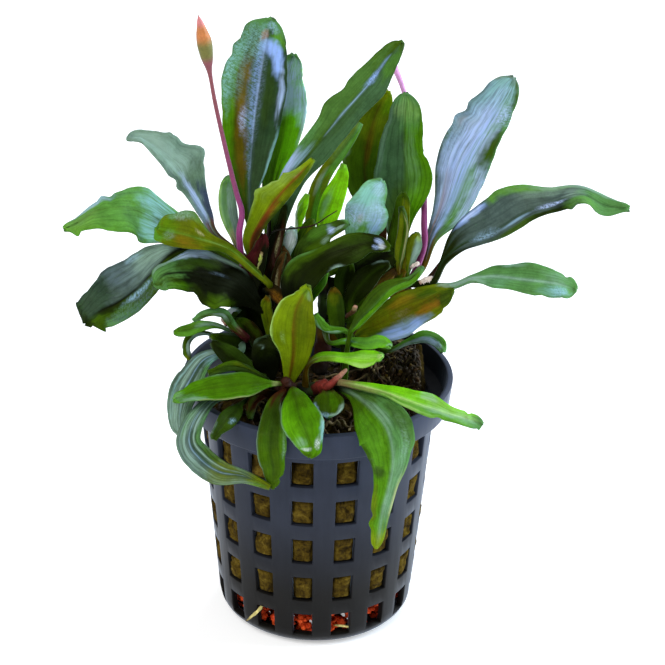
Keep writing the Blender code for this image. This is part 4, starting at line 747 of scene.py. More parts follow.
        patches=[(0.7, -0.4, 0.2, 0.5, "fern", 0.5)],
        paintedSheens=[(0.6, 0.4, 0.25, 0.5, "glare", 0.6, "veins")]),
    "small_upright": leaf(0, 8, [(4.5, -4.5, 56, 0.4, 0.4), (3.5, -5, 61, 1.3, 1.3), (3, -5, 65, 1.6, 1.6),
        (2.5, -5, 68.5, 0.9, 1.1)],
        left="moss", right="deep", foot=("darkGreen", 0.2), tip=("brown", 0.88), rib=("moss", 0.4),
        patches=[(0.8, -0.2, 0.12, 0.7, "olive", 0.8), (0.3, 0.0, 0.15, 0.6, "deep", 0.6)]),
    "bud_olive": leaf(0, 8, [(16, 4, 67, 0.4, 0.4), (16.5, 3, 71, 0.9, 1.1), (17, 3, 73.5, 1.5, 1.5),
        (17.5, 3, 76, 0.7, 0.9)],
        left="olive", right="greyGreen", foot=("moss", 0.2), tip=("olive", 0.9), rib=("yellowGreen", 0.4),
        veins=0.2,
        paintedSheens=[(0.55, 0.5, 0.25, 0.35, "mist", 0.8, "smooth"),
        (0.9, 0.5, 0.1, 0.4, "paleLime", 0.6, "smooth")]),
    "rolled": leaf(0, 25, [(14.5, 3, 68, 0.4, 0.4), (14.5, 2, 73, 1, 1), (15, 2, 77.5, 1, 1),
        (14.5, 2, 81.5, 0.4, 0.4)],
        left="olive", right="moss", foot=("brown", 0.15), tip=("deep", 0.9), rib=("moss", 0.3), blunt=0.2,
        patches=[(0.5, -0.3, 0.3, 0.5, "olive", 0.5)],
        paintedSheens=[(0.5, 0.85, 0.4, 0.15, "cream", 0.5, "smooth")]),
    "navy_right": leaf(-10, 8, [(5.5, -2.5, 61, 0.6, 0.6), (6, -3, 65.5, 1.5, 1.5),
        (8, -4, 69.5, 2.2, 2.3), (10.5, -4, 72, 1.4, 1.5), (12.5, -4, 73, 0.5, 0.6)],
        left="darkGreen", right="darkGreen", foot=("moss", 0.2), tip=("darkGreen", 0.9), rib=("moss", 0.4),
        blunt=0.4,
        paintedSheens=[(0.85, -0.9, 0.15, 0.12, "mist", 0.8, "smooth"),
        (0.5, 0.3, 0.4, 0.05, "sage", 0.4, "veins")]),
    "navy_left": leaf(0, 8, [(4, -1, 60, 0.6, 0.6), (4.5, 0, 64, 1.3, 1.5), (4.5, 1, 67.5, 1.8, 1.8),
        (5.5, 1, 71, 0.9, 0.9)],
        left="deep", right="darkGreen", foot=("black", 0.2), tip=("moss", 0.9), rib=("black", 0.4)),
}

darkLeaves = {
    "left_dark", "left_wide", "arching_dark", "right_long", "centre_dark", "navy_left",
    "navy_right", "small_dark", "small_round", "right_tall",
}
oliveLeaves = {
    "left_olive", "wavy", "front_upright", "narrow_olive", "brown_behind", "small_upright",
    "bud_olive", "small_low", "small_olive", "rolled",
}
# rows of a stem: place and radius
stems = {
    "stem_front": [(-9.5, -6.5, 48.8, 0.8), (-5.5, -7.2, 49, 1.1), (-1, -7, 49, 1.2),
        (5.5, -5.5, 49.2, 1)],
    "stem_side": [(-8.5, 0, 47.4, 1.3), (-11.5, 0.5, 52, 1.3), (-14.5, 0, 56.3, 1)],
    "stem_left": [(-5, 1, 47.4, 1.7), (-7.5, 2, 54, 1.7), (-8.5, 2, 60, 1.6), (-10.5, 3, 65.5, 1.2)],
    "stem_centre": [(0, 1.5, 47.4, 1.5), (1, 2, 55, 1.5), (1, 3, 62, 1.3), (0.5, 3.5, 67, 0.8)],
    "stem_right": [(6, 3, 47.4, 1.6), (9.5, 4, 54, 1.6), (13, 4.5, 60, 1.4), (16.5, 5, 65, 1.1)],
}
front = Vector((0.0, -0.9, 0.44)).normalized()  # the way the leaves face
blade = {"thickness": 1.1, "narrowest": 0.2, "columnWidth": 0.42, "rowLength": 0.55, "tipCrowding": 1.25,
    # how far from a stem a leaf may start without a stalk, and the stalk's least half width
    "stalkGap": 0.8, "stalkWidth": 0.7,
    # how ragged the margin is, how far apart its ripples are, and how deep the face buckles
    "ragged": 0.05, "fineRagged": 0.025, "waveLength": 9, "buckle": 0.25,
    # rounding of the fold, and the groove over the midrib
    "foldRounding": 0.16, "groove": 0.16, "grooveWidth": 0.4,
    # in the paint: width of the midrib, and how softly the two halves and the tip begin
    "ribPaint": 0.32, "halfBlur": 0.09, "tipBlur": 0.06}


def routeAt(route, position):
    # a smooth curve that meets row k of the route at position k
    last = len(route) - 1
    start = min(int(position), last - 1)
    part = position - start
    here = route[start]
    after = route[start + 1]
    before = route[start - 1] if start > 0 else [2 * a - b for a, b in zip(here, after)]
    beyond = route[start + 2] if start + 2 <= last else [2 * b - a for a, b in zip(here, after)]
    return [0.5 * (2 * b + (c - a) * part + (2 * a - 5 * b + 4 * c - d) * part ** 2
        + (3 * b - a - 3 * c + d) * part ** 3)
        for a, b, c, d in zip(before, here, after, beyond)]


def routeDirection(route, position):
    last = len(route) - 1
    ahead = Vector(routeAt(route, min(position + 0.02, last))[:3])
    behind = Vector(routeAt(route, max(position - 0.02, 0.0))[:3])
    return (ahead - behind).normalized()


def footOnStem(point):
    # how far the nearest stem is, and the place inside it where the leaf's stalk starts
    best = None
    for route in stems.values():
        for step in range(25):
            place = Vector(routeAt(route, step * (len(route) - 1) / 24)[:3])
            gap = (place - point).length
            if best is None or gap < best[0]:
                best = (gap, place)
    return best


def blank(columns, rows):
    # a flat sheet from -1 to 1 both ways, to be shaped
    lonely()
    bpy.ops.mesh.primitive_grid_add(x_subdivisions=columns, y_subdivisions=rows, size=2)
    return bpy.context.active_object


def joined(pieces):
    lonely()
    for piece in pieces:
        piece.select_set(True)
    bpy.context.view_layer.objects.active = pieces[0]
    bpy.ops.object.join()
    return bpy.context.active_object


def patchStrength(patch, along, across, seed, soft=0.4):
    place, side, reachAlong, reachAcross = patch[:4]
    ragged = 0.3 * grainAt(along * 14, across * 3, seed) + 0.3 * grainAt(along * 40, across * 9, seed)
    far = math.hypot((along - place) / reachAlong, (across - side) / reachAcross) + ragged
    return smooth(0.95 + soft, 0.95 - soft, far) * patch[5]


def paintLeaf(shape, along, across, offset, seed):
    # returns the leaf's colour, its painted sheen (painted reflection) colour and strength, and how that
    # is broken up
    split = smooth(-blade["halfBlur"], blade["halfBlur"], across + 0.1 * grainAt(along * 9, 0, seed))
    colour = paints[shape["left"]].lerp(paints[shape["right"]], split)
    tipName, tipStart = shape["tip"]
    spread = 0.08 * grainAt(along * 5, across * 4, seed + 9)
    colour = colour.lerp(paints[tipName],
        smooth(tipStart - blade["tipBlur"], tipStart + blade["tipBlur"], along + spread))
    for patch in shape["patches"]:
        colour = colour.lerp(paints[patch[4]], patchStrength(patch, along, across, seed))
    footName, footEnd = shape["foot"]
    colour = colour.lerp(paints[footName], smooth(footEnd + 0.05, footEnd - 0.07, along + spread))
    ribName, ribStrength = shape["rib"]
    ribShare = math.exp(-(offset / blade["ribPaint"]) ** 2) * ribStrength * smooth(0.02, 0.15, along)
    ribShare *= smooth(1.0, 0.8, along)
    colour = colour.lerp(paints[ribName], ribShare)
    paintedSheen = Vector((0.0, 0.0, 0.0))
    strength = 0.0
    parts = {"cross": 0.0, "smooth": 0.0, "veins": 0.0}
    total = 0.0
    # painted sheen: pale reflections of the light, laid over the leaf's colour
    for patch in shape["paintedSheens"]:
        part = patchStrength(patch, along, across, seed + 3, 0.5)
        paintedSheen += paints[patch[4]] * part
        total += part
        strength = 1 - (1 - strength) * (1 - part)
        parts[patch[6]] += part
    if total > 0:
        paintedSheen /= total
        parts = {way: part / total for way, part in parts.items()}
    return colour, paintedSheen, strength, parts["cross"], parts["smooth"]


def shapeLeaf(shape, along, across, path, extra, seed):
    # one point of the blade: along from foot to tip, across from the left margin to the right;
    # extra is the number of rows that the stalk adds before the leaf's own
    last = len(path) - 1
    position = along * last
    values = routeAt(path, position)
    rib = Vector(values[:3])
    bladeAlong = max(position - extra, 0.0) / (last - extra)
    forward = routeDirection(path, position)
    face = (front - front.dot(forward) * forward).normalized()
    side = forward.cross(face)
    turn = math.radians(shape["turn"] * min(max(position - extra, 0.0) / 2, 1.0))
    fold = math.radians(shape["fold"])
    turnedFace = math.cos(turn) * face + math.sin(turn) * side
    turnedSide = math.cos(turn) * side - math.sin(turn) * face
    halfWidth = 3 if across < 0 else 4
    width = max(values[halfWidth], blade["narrowest"])
    if position > last - 1:
        # the tip is rounded off rather than tapered
        rounded = path[last - 1][halfWidth] * math.sqrt(max(1 - (position - last + 1) ** 2, 0.0))
        width += (max(rounded, blade["narrowest"]) - width) * shape["blunt"]
    for nickSide, nickAlong, nickDepth, nickSize in shape["nicks"]:
        if nickSide * across > 0:
            width += nickDepth * smooth(nickSize, 0.0, abs(bladeAlong - nickAlong))
    # the petiole stays plain
    beyondFoot = smooth(0.12, 0.4, bladeAlong)
    margin = math.copysign(5, across)
    edge = 1 + beyondFoot * (blade["ragged"] * grainAt(bladeAlong * 7, margin, seed)
        + blade["fineRagged"] * grainAt(bladeAlong * 26, margin, seed))
    share = across * width * edge
    rounding = blade["foldRounding"] * width
    lift = (math.sqrt(share ** 2 + rounding ** 2) - rounding) * math.sin(fold)
    # the margin ripples, more where the blade is wide
    ripple = math.sin(math.tau * (bladeAlong * shape["length"] / blade["waveLength"]
        + 0.5 * (across > 0)) + 3 * grainAt(bladeAlong * 3, 0, seed))
    lift += shape["wave"] * beyondFoot * min(width / 3, 1.3) * abs(across) ** 2 * ripple
    lift += blade["buckle"] * beyondFoot * grainAt(bladeAlong * 6, across * 1.5, seed + 5)
    lift -= blade["groove"] * beyondFoot * math.exp(-(share / blade["grooveWidth"]) ** 2)
    point = rib + turnedSide * share * math.cos(fold) + turnedFace * lift
    return point, bladeAlong, share, width


def makeBlade(shape, index):
    seed = index * 7.3
    path = [Vector(row[:3]) for row in shape["path"]]
    shape["length"] = sum((b - a).length for a, b in zip(path, path[1:]))
    widest = max(row[3] + row[4] for row in shape["path"])
    rows = [list(row) for row in shape["path"]]
    gap, root = footOnStem(path[0])
    extra = 0
    if gap > blade["stalkGap"]:
        halfWidth = max(blade["stalkWidth"], shape["path"][0][3])
        rows = [[*root, halfWidth, halfWidth], *rows]
        extra = 1
    piece = blank(max(10, min(30, int(widest / blade["columnWidth"]) // 2 * 2)),
        max(18, min(90, int((shape["length"] + gap) / blade["rowLength"]))))
    mesh = piece.data
    marks = []
    for vertex in mesh.vertices:
        across = vertex.co.x
        # rows crowd towards the tip
        along = 1 - (1 - (vertex.co.y + 1) / 2) ** blade["tipCrowding"]
        point, bladeAlong, share, width = shapeLeaf(shape, along, across, rows, extra, seed)
        vertex.co = point * mm
        marks.append((bladeAlong, across, share, width))
    thick = piece.vertex_groups.new(name="thick")
    for number, (along, across, share, width) in enumerate(marks):
        # thin at the margin, thicker over the midrib and in the stalk
        stalk = smooth(1.6, 0.7, width)
        ridge = math.exp(-(share / 0.45) ** 2) * smooth(1.0, 0.5, along)
        weight = max(0.26 - 0.1 * abs(across), stalk * (1.05 - 0.5 * abs(across)), 0.55 * ridge)
        thick.add([number], min(weight, 1.0), "REPLACE")
    solid = piece.modifiers.new("Blade", "SOLIDIFY")
    solid.thickness = blade["thickness"] * mm
    solid.offset = 0.0
    solid.vertex_group = "thick"
    solid.thickness_vertex_group = 0.0
    bpy.ops.object.modifier_apply(modifier="Blade")
    bpy.ops.object.shade_smooth()
    paintPiece(mesh, marks, shape, index, seed)
    return piece


def makeLeaf(name, shape, index):
    material = "leaf_green"
    if name in darkLeaves:
        material = "leaf_dark"
    if name in oliveLeaves:
        material = "leaf_olive"
    finishPiece(makeBlade(shape, index), "blade_" + name, materials[material],
        ["leaf_" + name])


leafMarks = {"paint": "FLOAT_COLOR", "paintedSheen": "FLOAT_COLOR", "paintedSheenWay": "FLOAT_COLOR",
    "across": "FLOAT", "reach": "FLOAT", "veins": "FLOAT"}


def paintPiece(mesh, marks, shape, index, seed):
    # the wall's second half is the underside, paler and without painted sheen
    count = len(marks)
    for mark, kind in leafMarks.items():
        mesh.attributes.new(mark, kind, "POINT")
    colours, paintedSheens, ways, acrosses, reaches, veins = [mesh.attributes[mark] for mark in leafMarks]
    under = paints["sage"].lerp(paints["moss"], 0.6)
    for number in range(len(mesh.vertices)):
        along, across, offset, _ = marks[number % count]
        colour, paintedSheen, strength, crossPart, smoothPart = paintLeaf(shape, along, across, offset, seed)
        if number >= count:
            colour = colour.lerp(under, 0.55)
            strength = 0.0
        colours.data[number].color = (*colour, 1.0)
        paintedSheens.data[number].color = (*paintedSheen, strength)
        ways.data[number].color = (crossPart, smoothPart, 0.0, 1.0)
        acrosses.data[number].value = across
        reaches.data[number].value = along * shape["length"] + 60 * index
        veins.data[number].value = shape["veins"] * smooth(0.0, 0.2, along)


materials = {name: leafMaterial(name) for name in leafFinish}
for index, (name, shape) in enumerate(leaves.items()):
    makeLeaf(name, shape, index)
# broad leaf bases and cut stalks round the stems, too old to be leaves; their black and near-black paint
# is partly painted shade, deep in the crown
sheaths = {
    "wavy_base": leaf(0, 20, [(-12.8, -1, 64.5, 1, 1), (-12.6, -1.2, 68, 1.9, 2.2),
        (-12, -1.2, 71.2, 2, 2.4), (-11, -0.9, 74.2, 1, 1.8), (-10.2, -0.4, 76.8, 0.4, 0.6)],
        left="wine", right="black", foot=("black", 0.3), tip=("wine", 0.85), rib=("maroon", 0.5),
        veins=1.0,
        patches=[(0.6, 0.1, 0.3, 0.2, "wine", 0.6), (0.5, 0.9, 0.3, 0.3, "black", 0.6)]),
    "pale_strip": leaf(0, 10, [(-11.3, -1.3, 69.6, 0.2, 0.2), (-11, -1.4, 71, 0.3, 0.35),
        (-10.6, -1.4, 72.4, 0.35, 0.35), (-10.3, -1.3, 73.6, 0.15, 0.15)],
        left="yellow", right="olive", foot=("olive", 0.2), tip=("tan", 0.85), rib=("cream", 0.4),
        veins=0.4),
    "black_stalk": leaf(0, 25, [(-10, 1.2, 64, 1.4, 1.4), (-10, 1, 67.5, 1.8, 1.7), (-9, 1, 71, 1.9, 1.7),
        (-8, 1.2, 74.5, 1.6, 1.4), (-7, 2, 78, 0.9, 0.9), (-6.5, 2, 81.5, 0.5, 0.5)],
        left="black", right="peat", foot=("black", 0.3), tip=("darkGreen", 0.8), rib=("maroon", 0.6),
        veins=0.9,
        patches=[(0.5, 0.6, 0.3, 0.2, "wine", 0.6)],
        paintedSheens=[(0.55, 0.35, 0.14, 0.25, "cream", 0.5, "cross")]),
    "dry_base": leaf(0, 20, [(-7.5, 0.2, 62, 0.6, 0.6), (-8, 0, 66.5, 0.9, 0.9),
        (-7.5, -0.2, 70, 0.8, 0.8), (-6.5, 0.3, 73, 0.4, 0.4)],
        left="peat", right="bark", foot=("peat", 0.2), tip=("bark", 0.85), rib=("peat", 0.6), veins=0.9,
        paintedSheens=[(0.35, 0.1, 0.3, 0.5, "cream", 0.55, "cross")]),
    "tan_base": leaf(0, 15, [(-7, 0.8, 67, 0.6, 0.6), (-6.3, 1, 70.5, 1.2, 1.2),
        (-6.8, 1.2, 73.6, 0.5, 0.5)],
        left="bark", right="bark", foot=("peat", 0.2), tip=("bark", 0.9), rib=("brown", 0.3), veins=0.6,
        paintedSheens=[(0.6, 0.0, 0.2, 0.5, "tan", 0.6, "cross")]),
    "old_node": leaf(0, -25, [(-9.8, -0.4, 66, 0.9, 0.9), (-8.5, -1.2, 66, 1.3, 1.3),
        (-7, -1.5, 64.5, 1.4, 1.3), (-6, -1.4, 63, 0.6, 0.6)],
        left="peat", right="bark", foot=("black", 0.25), tip=("bark", 0.9), rib=("brown", 0.3), veins=0.6,
        paintedSheens=[(0.6, 0.2, 0.25, 0.6, "orange", 0.8, "cross")]),
    "olive_strip": leaf(0, 15, [(-8.4, -2.6, 56.5, 0.7, 0.7), (-9.1, -2.8, 60, 1, 1.1),
        (-9.6, -2.8, 63.3, 1.1, 1), (-9.4, -2.6, 65.4, 0.4, 0.4)],
        left="olive", right="olive", foot=("deep", 0.2), tip=("brown", 0.9), rib=("moss", 0.4), veins=0.6,
        patches=[(0.5, -0.8, 0.4, 0.3, "moss", 0.6)]),
    "glossy_back": leaf(0, 15, [(-5, 3.5, 66, 0.8, 0.8), (-4.2, 3.5, 70, 1.5, 1.5),
        (-3, 3.6, 74, 1.6, 1.4), (-1.6, 4, 78, 0.5, 0.5)],
        left="moss", right="olive", foot=("brown", 0.2), tip=("moss", 0.9), rib=("moss", 0.4), veins=0.6,
        patches=[(0.6, -0.7, 0.3, 0.3, "deep", 0.7)]),
    "dark_base": leaf(10, 15, [(-9.5, 1.5, 53, 1.8, 1.8), (-11.5, 1.5, 57.5, 2.8, 2.8),
        (-13.5, 2, 61, 2.9, 2.9), (-15.5, 2.5, 64, 1, 1)],
        left="black", right="darkGreen", foot=("black", 0.3), tip=("darkGreen", 0.9), rib=("black", 0.5),
        veins=0.6,
        patches=[(0.7, -0.5, 0.2, 0.4, "deep", 0.6)]),
    "dark_back": leaf(0, 15, [(-9.5, 2.5, 53, 1.8, 1.8), (-10, 2.5, 58, 2.8, 2.6),
        (-11, 2.6, 62.5, 2.6, 2.4), (-12, 2.6, 66.5, 0.8, 0.8)],
        left="black", right="black", foot=("black", 0.3), tip=("maroon", 0.8), rib=("maroon", 0.4),
        veins=0.6),
    "curled_base": leaf(20, 30, [(-9.5, -2.5, 53, 0.9, 0.9), (-11, -3.2, 56, 1.5, 1.8),
        (-13, -3.6, 59, 1.3, 1.9), (-15, -3.4, 61, 0.5, 0.7)],
        left="darkGreen", right="peat", foot=("black", 0.2), tip=("moss", 0.8), rib=("darkGreen", 0.6),
        veins=0.6,
        patches=[(0.6, 0.5, 0.2, 0.3, "moss", 0.6), (0.4, -0.4, 0.2, 0.3, "peat", 0.7)]),
    "covering": leaf(10, 8, [(-10, -8.6, 52.2, 0.8, 0.8), (-13, -9, 54.3, 1.6, 1.5),
        (-16, -9.6, 57, 2, 1.7), (-19.2, -9.4, 59.4, 0.4, 0.4)],
        left="darkGreen", right="deep", foot=("deep", 0.25), tip=("darkGreen", 0.9),
        rib=("darkGreen", 0.4), veins=0.4, blunt=0.3,
        patches=[(0.4, -0.6, 0.2, 0.4, "moss", 0.5)]),
    "tall_petiole": leaf(0, 12, [(14.2, 3.4, 63.5, 1.4, 1.4), (13.8, 3.2, 67.5, 2, 1.9),
        (13.8, 3.4, 71.5, 2.1, 2), (14.2, 4.2, 75, 2, 1.9), (14.8, 5.4, 79.5, 1.5, 1.4),
        (15, 6.5, 82.5, 0.5, 0.5)],
        left="moss", right="olive", foot=("brown", 0.2), tip=("moss", 0.9), rib=("yellowGreen", 0.5),
        veins=0.9,
        patches=[(0.4, -0.95, 0.4, 0.2, "peat", 0.8), (0.4, 0.9, 0.3, 0.2, "brown", 0.5)],
        paintedSheens=[(0.5, 0.25, 0.4, 0.1, "paleLime", 0.4, "veins")]),
    "dark_fill": leaf(0, 15, [(5.5, 2, 65, 2.2, 1.6), (8.5, 2, 68.3, 3.5, 2.3), (11.5, 2.2, 70.8, 3, 2),
        (14, 2.6, 72.4, 0.8, 0.8)],
        left="black", right="darkGreen", foot=("black", 0.3), tip=("deep", 0.9), rib=("black", 0.5),
        veins=0.6,
        patches=[(0.6, -0.8, 0.3, 0.3, "deep", 0.6)]),
    "brown_petiole": leaf(10, 12, [(7, -0.5, 58.5, 1, 1), (9, 0.2, 62, 1.5, 1.5), (11, 1, 64.6, 2.2, 1.7),
        (13.5, 2.4, 67, 2, 1.4), (15.5, 3, 68.5, 0.5, 0.5)],
        left="bark", right="moss", foot=("maroon", 0.2), tip=("brown", 0.9), rib=("maroon", 0.6),
        veins=0.8,
        patches=[(0.6, -0.5, 0.2, 0.4, "brown", 0.6), (0.4, 0.5, 0.2, 0.4, "moss", 0.6)]),
    "olive_petiole": leaf(0, 10, [(5, -2, 56.5, 0.8, 0.8), (6.8, -2.2, 61, 1.5, 1.5),
        (8.8, -2.2, 64.8, 1.4, 1.4), (10.8, -1.2, 67.2, 0.5, 0.5)],
        left="moss", right="olive", foot=("brown", 0.2), tip=("brown", 0.85), rib=("moss", 0.4), veins=0.7,
        patches=[(0.75, 0.0, 0.15, 0.8, "bark", 0.6)]),
    "under_leaf": leaf(-20, 10, [(-4.5, -3, 62.5, 1, 1), (-3, -3.2, 65.2, 1.8, 1.8),
        (-1, -3.8, 68, 1.8, 1.8), (1.2, -4.2, 71, 0.8, 0.8)],
        left="grass", right="grass", foot=("deep", 0.25), tip=("leafGreen", 0.8), rib=("moss", 0.5),
        veins=0.5,
        patches=[(0.4, 0.6, 0.3, 0.4, "deep", 0.6)]),
    "crown_left": leaf(30, 25, [(-8, -9, 48.5, 1, 1), (-10, -11.5, 50, 1.4, 1.3),
        (-11.5, -14.5, 49.6, 1.1, 1.1), (-12, -17, 48, 0.4, 0.4)],
        left="maroon", right="bark", foot=("black", 0.2), tip=("deep", 0.85), rib=("maroon", 0.6),
        veins=0.7,
        patches=[(0.6, 0.5, 0.2, 0.3, "moss", 0.7)]),
}
blades = [makeBlade(shape, 60 + number) for number, shape in enumerate(sheaths.values())]
finishPiece(joined(blades), "old_bases", materials["leaf_olive"])
print("leaves made:", len(leaves))


# Stems, flower stalks and roots

def closeSeams():
    # the rolled sheet's edges are merged, and its faces turned outwards
    bpy.ops.object.mode_set(mode="EDIT")
    bpy.ops.mesh.select_all(action="SELECT")
    bpy.ops.mesh.remove_doubles(threshold=0.01 * mm)
    bpy.ops.mesh.normals_make_consistent(inside=False)
    bpy.ops.object.mode_set(mode="OBJECT")
    bpy.ops.object.shade_smooth()


def makeTube(route, sides, rows, steps, bumps=0.0, seed=0.0):
    # a sheet rolled up round its route, with both ends drawn together;
    # steps are pairs of place along the route and colour name
    piece = blank(sides, rows)
    mesh = piece.data
    last = len(route) - 1
    painted = []
    for vertex in mesh.vertices:
        angle = math.pi * (vertex.co.x + 1)
        along = (vertex.co.y + 1) / 2
        position = along * last
        values = routeAt(route, position)
        forward = routeDirection(route, position)
        side = forward.cross(Vector((0.3, 1.0, 0.2))).normalized()
        up = side.cross(forward)
        radius = max(values[3], 0.05)
        radius *= 1 + bumps * grainAt(math.cos(angle) * 1.5, math.sin(angle) * 1.5,
            along * last * 3 + seed)
        radius *= math.sqrt(smooth(-0.001, 0.05, along) * smooth(1.001, 0.95, along))
        outward = math.cos(angle) * side + math.sin(angle) * up
        vertex.co = (Vector(values[:3]) + outward * radius) * mm
        colour = paints[steps[0][1]]
        for (start, _), (end, name) in zip(steps, steps[1:]):
            colour = colour.lerp(paints[name], smooth(start, end, along))
        painted.append(colour)
    colours = mesh.attributes.new("paint", "FLOAT_COLOR", "POINT")
    for number, colour in enumerate(painted):
        colours.data[number].color = (*colour, 1.0)
    closeSeams()
    return piece


stemMaterial = paintedMaterial("stem", 0.62, 0.2, 900.0, 0.35)
stemColours = [(0.0, "black"), (0.3, "maroon"), (0.42, "brown"), (0.5, "black"), (0.72, "deep"),
    (0.8, "black"), (0.92, "brown"), (1.0, "maroon")]
for index, (name, route) in enumerate(stems.items()):
    piece = makeTube(route, 20, 70, stemColours, 0.35, index * 5.0)
    finishPiece(piece, name.replace("stem", "stalk"), stemMaterial, [name])

flowerMaterial = paintedMaterial("flower", 0.42, 0.3, 700.0, 0.1)
flowers = {
    "flower_left": {"route": [(-12.5, 1.5, 65.5, 0.7), (-14, 0.5, 70.5, 0.62), (-14.5, -2.5, 77.5, 0.58),
        (-14, -3, 82, 0.52), (-15, -3, 86, 0.46), (-16.5, -3, 92.5, 0.42), (-18.5, -3, 102, 0.38),
        (-19.5, -3, 108, 0.4), (-20, -3, 111, 1.05), (-20.5, -3, 114, 1.32), (-21, -3, 116.5, 0.8),
        (-21.5, -3, 119, 0.12)],
        "steps": [(0.0, "maroon"), (0.1, "magenta"), (0.3, "magenta"), (0.42, "stalkPink"),
        (0.58, "stalkRed"), (0.7, "stalkRed"), (0.75, "budGreen"), (0.79, "budGreen"),
        (0.86, "budOrange"), (0.9, "budOrange"), (0.95, "budPink"), (0.985, "budPink"), (1.0, "slate")]},
    "flower_right": {"route": [(16, 4.8, 64.5, 0.7), (17.5, 5, 67.5, 0.65), (19, 6.5, 72, 0.62),
        (19, 8.5, 75.5, 0.6), (19, 12, 78, 0.55), (19, 15, 80.5, 0.5), (17.5, 18.5, 88, 0.45),
        (15, 20, 96.5, 0.45), (13.5, 20, 100.5, 0.55), (12, 20, 103.5, 0.7), (10, 20, 105, 0.12)],
        "steps": [(0.0, "rust"), (0.08, "magenta"), (0.35, "magenta"), (0.5, "stalkPink"),
        (0.7, "lilac"), (1.0, "lilac")]},
}
for name, flower in flowers.items():
    piece = makeTube(flower["route"], 20, 110, flower["steps"], 0.05)
    finishPiece(piece, "stalk_" + name, flowerMaterial, [name])
print("stems and flowers made")

# cut stalks, old leaf bases and thin dead stalks among the leaves: route, colours, bumps
oddments = {
    "old_stalk": ([(-9, 2, 60, 0.5), (-8.6, 1.4, 66, 0.55), (-8.2, 1, 70.5, 0.6), (-9.2, 2, 75, 0.45),
        (-9.2, 2, 79.5, 0.25)], [(0.0, "brown"), (0.5, "maroon"), (1.0, "black")], 0.5),
    "petiole_stub": ([(0, -8.5, 50.5, 0.7), (1.8, -12, 52.2, 0.75), (3.5, -11.6, 53.6, 0.55),
        (5.3, -11, 55.3, 0.3)], [(0.0, "maroon"), (0.5, "red"), (1.0, "pink")], 0.2),
    "red_stub": ([(-12, -2, 55.5, 0.5), (-13.6, -4.5, 58.3, 0.5), (-15.7, -5.3, 60.5, 0.6),
        (-17.6, -6, 62.6, 0.45)], [(0.0, "black"), (0.5, "wine"), (0.8, "wine"), (0.92, "pink"),
        (1.0, "blush")], 0.4),
    "nub": ([(4.4, -4, 62, 0.35), (5.8, -6, 64, 0.4), (6.4, -6.6, 65.2, 0.45), (6.6, -6.8, 65.9, 0.35)],
        [(0.0, "maroon"), (0.5, "bark"), (0.8, "tan"), (1.0, "pink")], 0.4),
    "pale_stub": ([(16.4, 2.9, 69, 0.25), (17, 2.8, 69.6, 0.3), (17.7, 2.8, 70, 0.4),
        (18.2, 2.8, 70.2, 0.25)], [(0.0, "bark"), (0.4, "blush"), (0.9, "blush")], 0.8),
    "pale_end": ([(18.2, 2.4, 66.4, 0.3), (19, 2.3, 66.9, 0.5), (19.9, 2.2, 67.2, 0.55),
        (20.9, 2, 67.3, 0.35)], [(0.0, "pink"), (0.3, "blush"), (0.9, "blush")], 0.9),
    "thin_stalk": ([(5, -4.5, 56, 0.3), (6.6, -6, 60.6, 0.3), (10, -5.4, 66.2, 0.28),
        (13.6, -3, 70.4, 0.2)], [(0.0, "maroon"), (1.0, "brown")], 0.2),
    "dead_stalk": ([(14.5, 4.4, 62.5, 0.5), (18.6, 3.4, 65, 0.45), (21.9, 2.5, 70.2, 0.4),
        (24.4, 2, 73.6, 0.35)], [(0.0, "black"), (1.0, "maroon")], 0.25),
    "thread": ([(-9, 0.5, 76.5, 0.14), (-7.6, 0, 77.5, 0.16), (-3.7, 0, 78, 0.16), (-1.1, 0, 78.6, 0.13),
        (1.7, 1, 80.2, 0.1), (3.1, 2, 80.7, 0.08)], [(0.0, "black"), (1.0, "maroon")], 0.4),
    "straw_out": ([(-9.4, -14.6, 7.6, 0.2), (-10.2, -16, 7.1, 0.3), (-11.4, -15.4, 5.4, 0.26),
        (-12.9, -14, 3, 0.1)], [(0.0, "straw"), (0.7, "straw"), (1.0, "bark")], 0.5),
    "straw_in": ([(3, -16, 3.9, 0.15), (5.2, -16.7, 4.2, 0.22), (7.6, -16.2, 3.6, 0.14)],
        [(0.0, "brown"), (0.5, "straw"), (1.0, "straw")], 0.5),
    "crown_front": ([(-5.2, -7.2, 49, 1.2), (-5.4, -10, 50.6, 1.5), (-5.7, -11.6, 52.4, 1.1),
        (-5.6, -12, 53.8, 0.5)], [(0.0, "maroon"), (1.0, "maroon")], 0.5),
    "crown_middle": ([(-0.5, -7, 49, 1.1), (0.6, -9.6, 50.8, 1.2), (1.7, -11.8, 52.3, 0.9)],
        [(0.0, "maroon"), (1.0, "red")], 0.4),
}
pieces = [makeTube(route, 14, 36, steps, bumps, index * 3.0)
    for index, (route, steps, bumps) in enumerate(oddments.values())]
finishPiece(joined(pieces), "old_stalks", stemMaterial)

woolShape = {"top": 46.0, "inner": 14.5, "slump": 1.8, "shoulder": 15.0, "droop": 0.06,
    # place, half sizes and height of the block that the roots have filled
    "block": (14.2, 5.5, 6.4, 6.2, 4.6), "blockEdge": 2.2,
    # place, height and spread of each mound
    "mounds": [(-12, -11, 2.0, 5.0), (0, 2, 1.5, 9.0), (2, -15, -1.5, 4.0)]}


def blockShare(x, y):
    # 1 on the block, 0 away from it
    placeX, placeY, halfX, halfY = woolShape["block"][:4]
    edge = woolShape["blockEdge"]
    ragged = 1.5 * grainAt(x * 0.45, y * 0.45, 3.0)
    return (smooth(halfX + edge, halfX - edge, abs(x - placeX) + ragged)
        * smooth(halfY + edge, halfY - edge, abs(y - placeY) + ragged))


